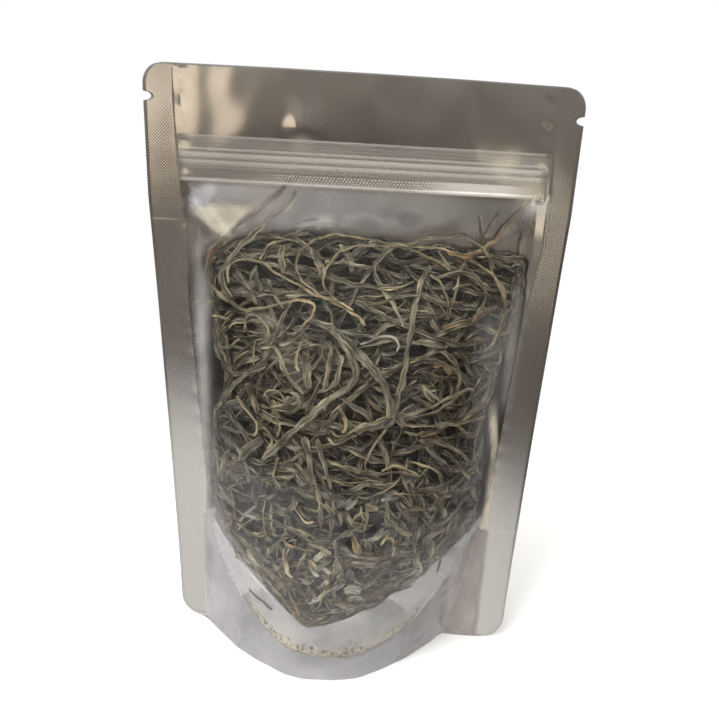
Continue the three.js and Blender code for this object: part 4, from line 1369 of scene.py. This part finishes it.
def add_crumbs(material):
    """Crumbs of kelp and grains of salt that slid down between the front film and the gusset."""
    draw = np.random.default_rng(SEED + 2)
    corners = np.array([(1, 0, 0), (0, 0, 1), (-1, 0, 0), (0, 0, -1), (0, -1, 0), (0, 1, 0)], float)
    sides = [(0, 1, 4), (1, 2, 4), (2, 3, 4), (3, 0, 4), (1, 0, 5), (2, 1, 5), (3, 2, 5), (0, 3, 5)]
    points, faces, shade = [], [], []
    for n in range(CRUMBS):
        x = draw.uniform(-36.0, 31.0)
        z = base_arc(x) + 0.6 + abs(draw.normal(0.0, 1.8))
        size = draw.uniform(0.15, 0.6, 3) * (1.0, 0.3, 1.0)
        at = np.array([x, film_front(x, z) + FILM + CRUMB_DEPTH, z])
        points.append(at + corners * size * draw.uniform(0.6, 1.3, (6, 1)))
        faces += [tuple(6 * n + k for k in side) for side in sides]
        tone, brown, pale = CRUMB_LOOKS[draw.integers(len(CRUMB_LOOKS))]
        shade += [(pale, tone, brown)] * 6
    points = np.concatenate(points)
    mesh_piece("kelp_crumbs", points, faces, material, "kelp",
               {"strip": points, "shade": shade})


# ---------------------------------------------------------------- floor, light and sky
WHITE = "#ffffff"
ROOM_LOW = "#716b67"
# Distances over which the paper goes from shaded to plain white, and over which the glowing
# patch, painted light for the pouch to mirror, fades into the room, and how far the patch's
# middle lies to the left and to the front.
PAPER_FADE = (170.0, 290.0)
PATCH_FADE = (100.0, 300.0)
PATCH_OFF = (60.0, 40.0)
# The room's brightness from straight down to straight up.
ROOM_STOPS = [(0.30, "#8d8681"), (0.34, "#aaa49f"), (0.39, "#7a716b"), (0.43, "#69615c"),
              (0.47, "#7c736d"), (0.50, "#8a817b"), (0.54, "#9a9089"), (0.62, "#a39f9b"),
              (0.75, "#b8b5b2"), (1.0, "#c4c3c2")]


def add_card(name, place, aim, size, power, colour, glossy=True):
    """A softbox: a flat light of the given width and height, aimed at a place."""
    light = bpy.data.lights.new(name, "AREA")
    light.shape = "RECTANGLE"
    light.size, light.size_y = (s * MM for s in size)
    light.energy = power
    light.color = linear(colour)[:3]
    lamp = bpy.data.objects.new(name, light)
    bpy.context.scene.collection.objects.link(lamp)
    away = unit(np.array(place) - np.array(aim))
    side = unit(np.cross([0.0, 0.0, 1.0], away))
    lamp.matrix_world = (Matrix.Translation(np.array(place) * MM)
                         @ Matrix((side, np.cross(away, side), away)).transposed().to_4x4())
    lamp.visible_camera = False
    lamp.visible_glossy = glossy


def add_disc(name, height, radius, material, unseen):
    """A round of the floor, which some kinds of ray don't see."""
    count = 96
    turn = np.arange(count) * 2.0 * math.pi / count
    points = np.stack([radius * np.cos(turn), radius * np.sin(turn), np.full(count, height)], 1)
    mesh = bpy.data.meshes.new(name)
    mesh.from_pydata((points * MM).tolist(), [], [list(range(count))])
    mesh.materials.append(material)
    disc = bpy.data.objects.new(name, mesh)
    bpy.context.scene.collection.objects.link(disc)
    for ray in unseen:
        setattr(disc, "visible_" + ray, False)


def add_floor():
    """A white paper sweep in three rounds: the paper that the pouch stands on, evenly white
    farther out, a glowing patch of painted light that the pouch mirrors in place of the lit paper,
    and plain white far off."""
    material, tree = new_material("white_paper")
    paper = add(tree, "BsdfDiffuse", {"Color": linear("#f3f2f0")})
    place = add(tree, "TexCoord").outputs["Object"]
    apart = add(tree, "VectorMath", {0: place}, operation="LENGTH")
    edge = add(tree, "MapRange", {"Value": apart.outputs["Value"], 1: PAPER_FADE[0] * MM,
                                  2: PAPER_FADE[1] * MM}, interpolation_type="SMOOTHSTEP")
    white = add(tree, "Emission", {"Color": linear(WHITE)})
    faded = add(tree, "MixShader", {0: edge.outputs[0], 1: paper.outputs[0], 2: white.outputs[0]})
    add(tree, "OutputMaterial", {"Surface": faded.outputs[0]})
    add_disc("floor", -0.02, 300.0, material, ["glossy"])

    # Painted light: this patch glows, seen only in reflections, in place of the lit paper.
    material, tree = new_material("glowing_mirrored_patch")
    place = add(tree, "TexCoord").outputs["Object"]
    moved = add(tree, "VectorMath", {0: place, 1: (PATCH_OFF[0] * MM, PATCH_OFF[1] * MM, 0.0)},
                operation="ADD")
    reach = add(tree, "VectorMath", {0: moved.outputs[0]}, operation="LENGTH")
    fade = add(tree, "MapRange", {"Value": reach.outputs["Value"], 1: PATCH_FADE[0] * MM,
                                  2: PATCH_FADE[1] * MM}, interpolation_type="SMOOTHSTEP")
    colour = add(tree, "Mix", {0: fade.outputs[0], 6: (0.93, 0.91, 0.9, 1.0),
                               7: linear(ROOM_LOW)}, data_type="RGBA")
    glow = add(tree, "Emission", {"Color": colour.outputs[2]})
    add(tree, "OutputMaterial", {"Surface": glow.outputs[0]})
    add_disc("floor_mirrored", -0.4, 420.0, material, ["camera", "diffuse", "shadow"])

    material, tree = new_material("far_paper")
    glow = add(tree, "Emission", {"Color": linear(WHITE)})
    add(tree, "OutputMaterial", {"Surface": glow.outputs[0]})
    add_disc("floor_far", -0.8, 4000.0, material, ["glossy", "diffuse", "transmission"])


def add_sky():
    """A dim warm room that is lighter overhead, and plain white behind the pouch."""
    world = bpy.data.worlds.new("room")
    bpy.context.scene.world = world
    world.use_nodes = True
    tree = world.node_tree
    tree.nodes.clear()
    place = add(tree, "TexCoord").outputs["Generated"]
    apart = add(tree, "SeparateXYZ", {0: place})
    rise = add(tree, "MapRange", {"Value": apart.outputs["Z"], 1: -1.0, 2: 1.0})
    side = add(tree, "MapRange", {"Value": apart.outputs["X"], 1: -0.5, 2: 0.5, 3: 1.12, 4: 0.74})
    cloud = add(tree, "TexNoise", {"Vector": place, "Scale": 9.0, "Detail": 3.0})
    uneven = add(tree, "MapRange", {"Value": cloud.outputs["Fac"], 1: 0.3, 2: 0.7, 3: 0.8, 4: 1.2})
    strength = add(tree, "Math", {0: side.outputs[0], 1: uneven.outputs[0]}, operation="MULTIPLY")
    ramp = add(tree, "ValToRGB", {"Fac": rise.outputs[0]})
    first, last = ramp.color_ramp.elements
    first.position, first.color = ROOM_STOPS[0][0], linear(ROOM_STOPS[0][1])
    last.position, last.color = ROOM_STOPS[-1][0], linear(ROOM_STOPS[-1][1])
    for at, colour in ROOM_STOPS[1:-1]:
        ramp.color_ramp.elements.new(at).color = linear(colour)
    ray = add(tree, "LightPath")
    room = add(tree, "Background", {"Color": ramp.outputs[0], "Strength": strength.outputs[0]})
    white = add(tree, "Background", {"Color": linear(WHITE), "Strength": 1.0})
    mixed = add(tree, "MixShader", {0: ray.outputs["Is Camera Ray"], 1: room.outputs[0],
                                    2: white.outputs[0]})
    add(tree, "OutputWorld", {"Surface": mixed.outputs[0]})


def add_light():
    """Soft light from above and the left, and two windows that the films mirror."""
    middle = (0.0, 0.0, 90.0)
    add_card("overhead", (0.0, -250.0, 1300.0), middle, (1500.0, 1200.0), 17.0, WHITE, False)
    add_card("key", (-380.0, -420.0, 900.0), middle, (420.0, 340.0), 7.0, WHITE, False)
    add_card("front_fill", (-500.0, -1100.0, 750.0), middle, (900.0, 700.0), 1.6, "#fffaf2", False)
    add_card("window", (-493.0, -950.0, 229.0), (-50.0, 0.0, 190.0), (356.0, 220.0), 0.235, "#ffedd5")
    add_card("far_window", (505.0, -950.0, 98.0), (60.0, 0.0, 165.0), (165.0, 120.0), 0.07, "#fff2dc")


# ---------------------------------------------------------------- everything
add_camera()
foil = foil_material()
clear_film = film_material("clear_laminate_film", 0.002, "#fbfbfa")
gusset_clear = film_material("clear_gusset_film", 0.0, "#f2f3f7")
kelp = kelp_material("air_dried_kelp", "#6f6c5d", "#1f201b", "#bead88", "#a6a496")
add_back_foil(foil)
add_front_film(clear_film)
add_gusset_film(gusset_clear)
add_zip(zip_material())
add_core(core_material())
add_seen_strands(kelp)
add_loose_strips(kelp)
add_crumbs(kelp)
add_floor()
add_light()
add_sky()

scene = bpy.context.scene
scene.view_settings.view_transform = "Standard"
scene.cycles.transparent_max_bounces = 32
scene.cycles.max_bounces = 10
scene.cycles.glossy_bounces = 5
scene.cycles.diffuse_bounces = 4
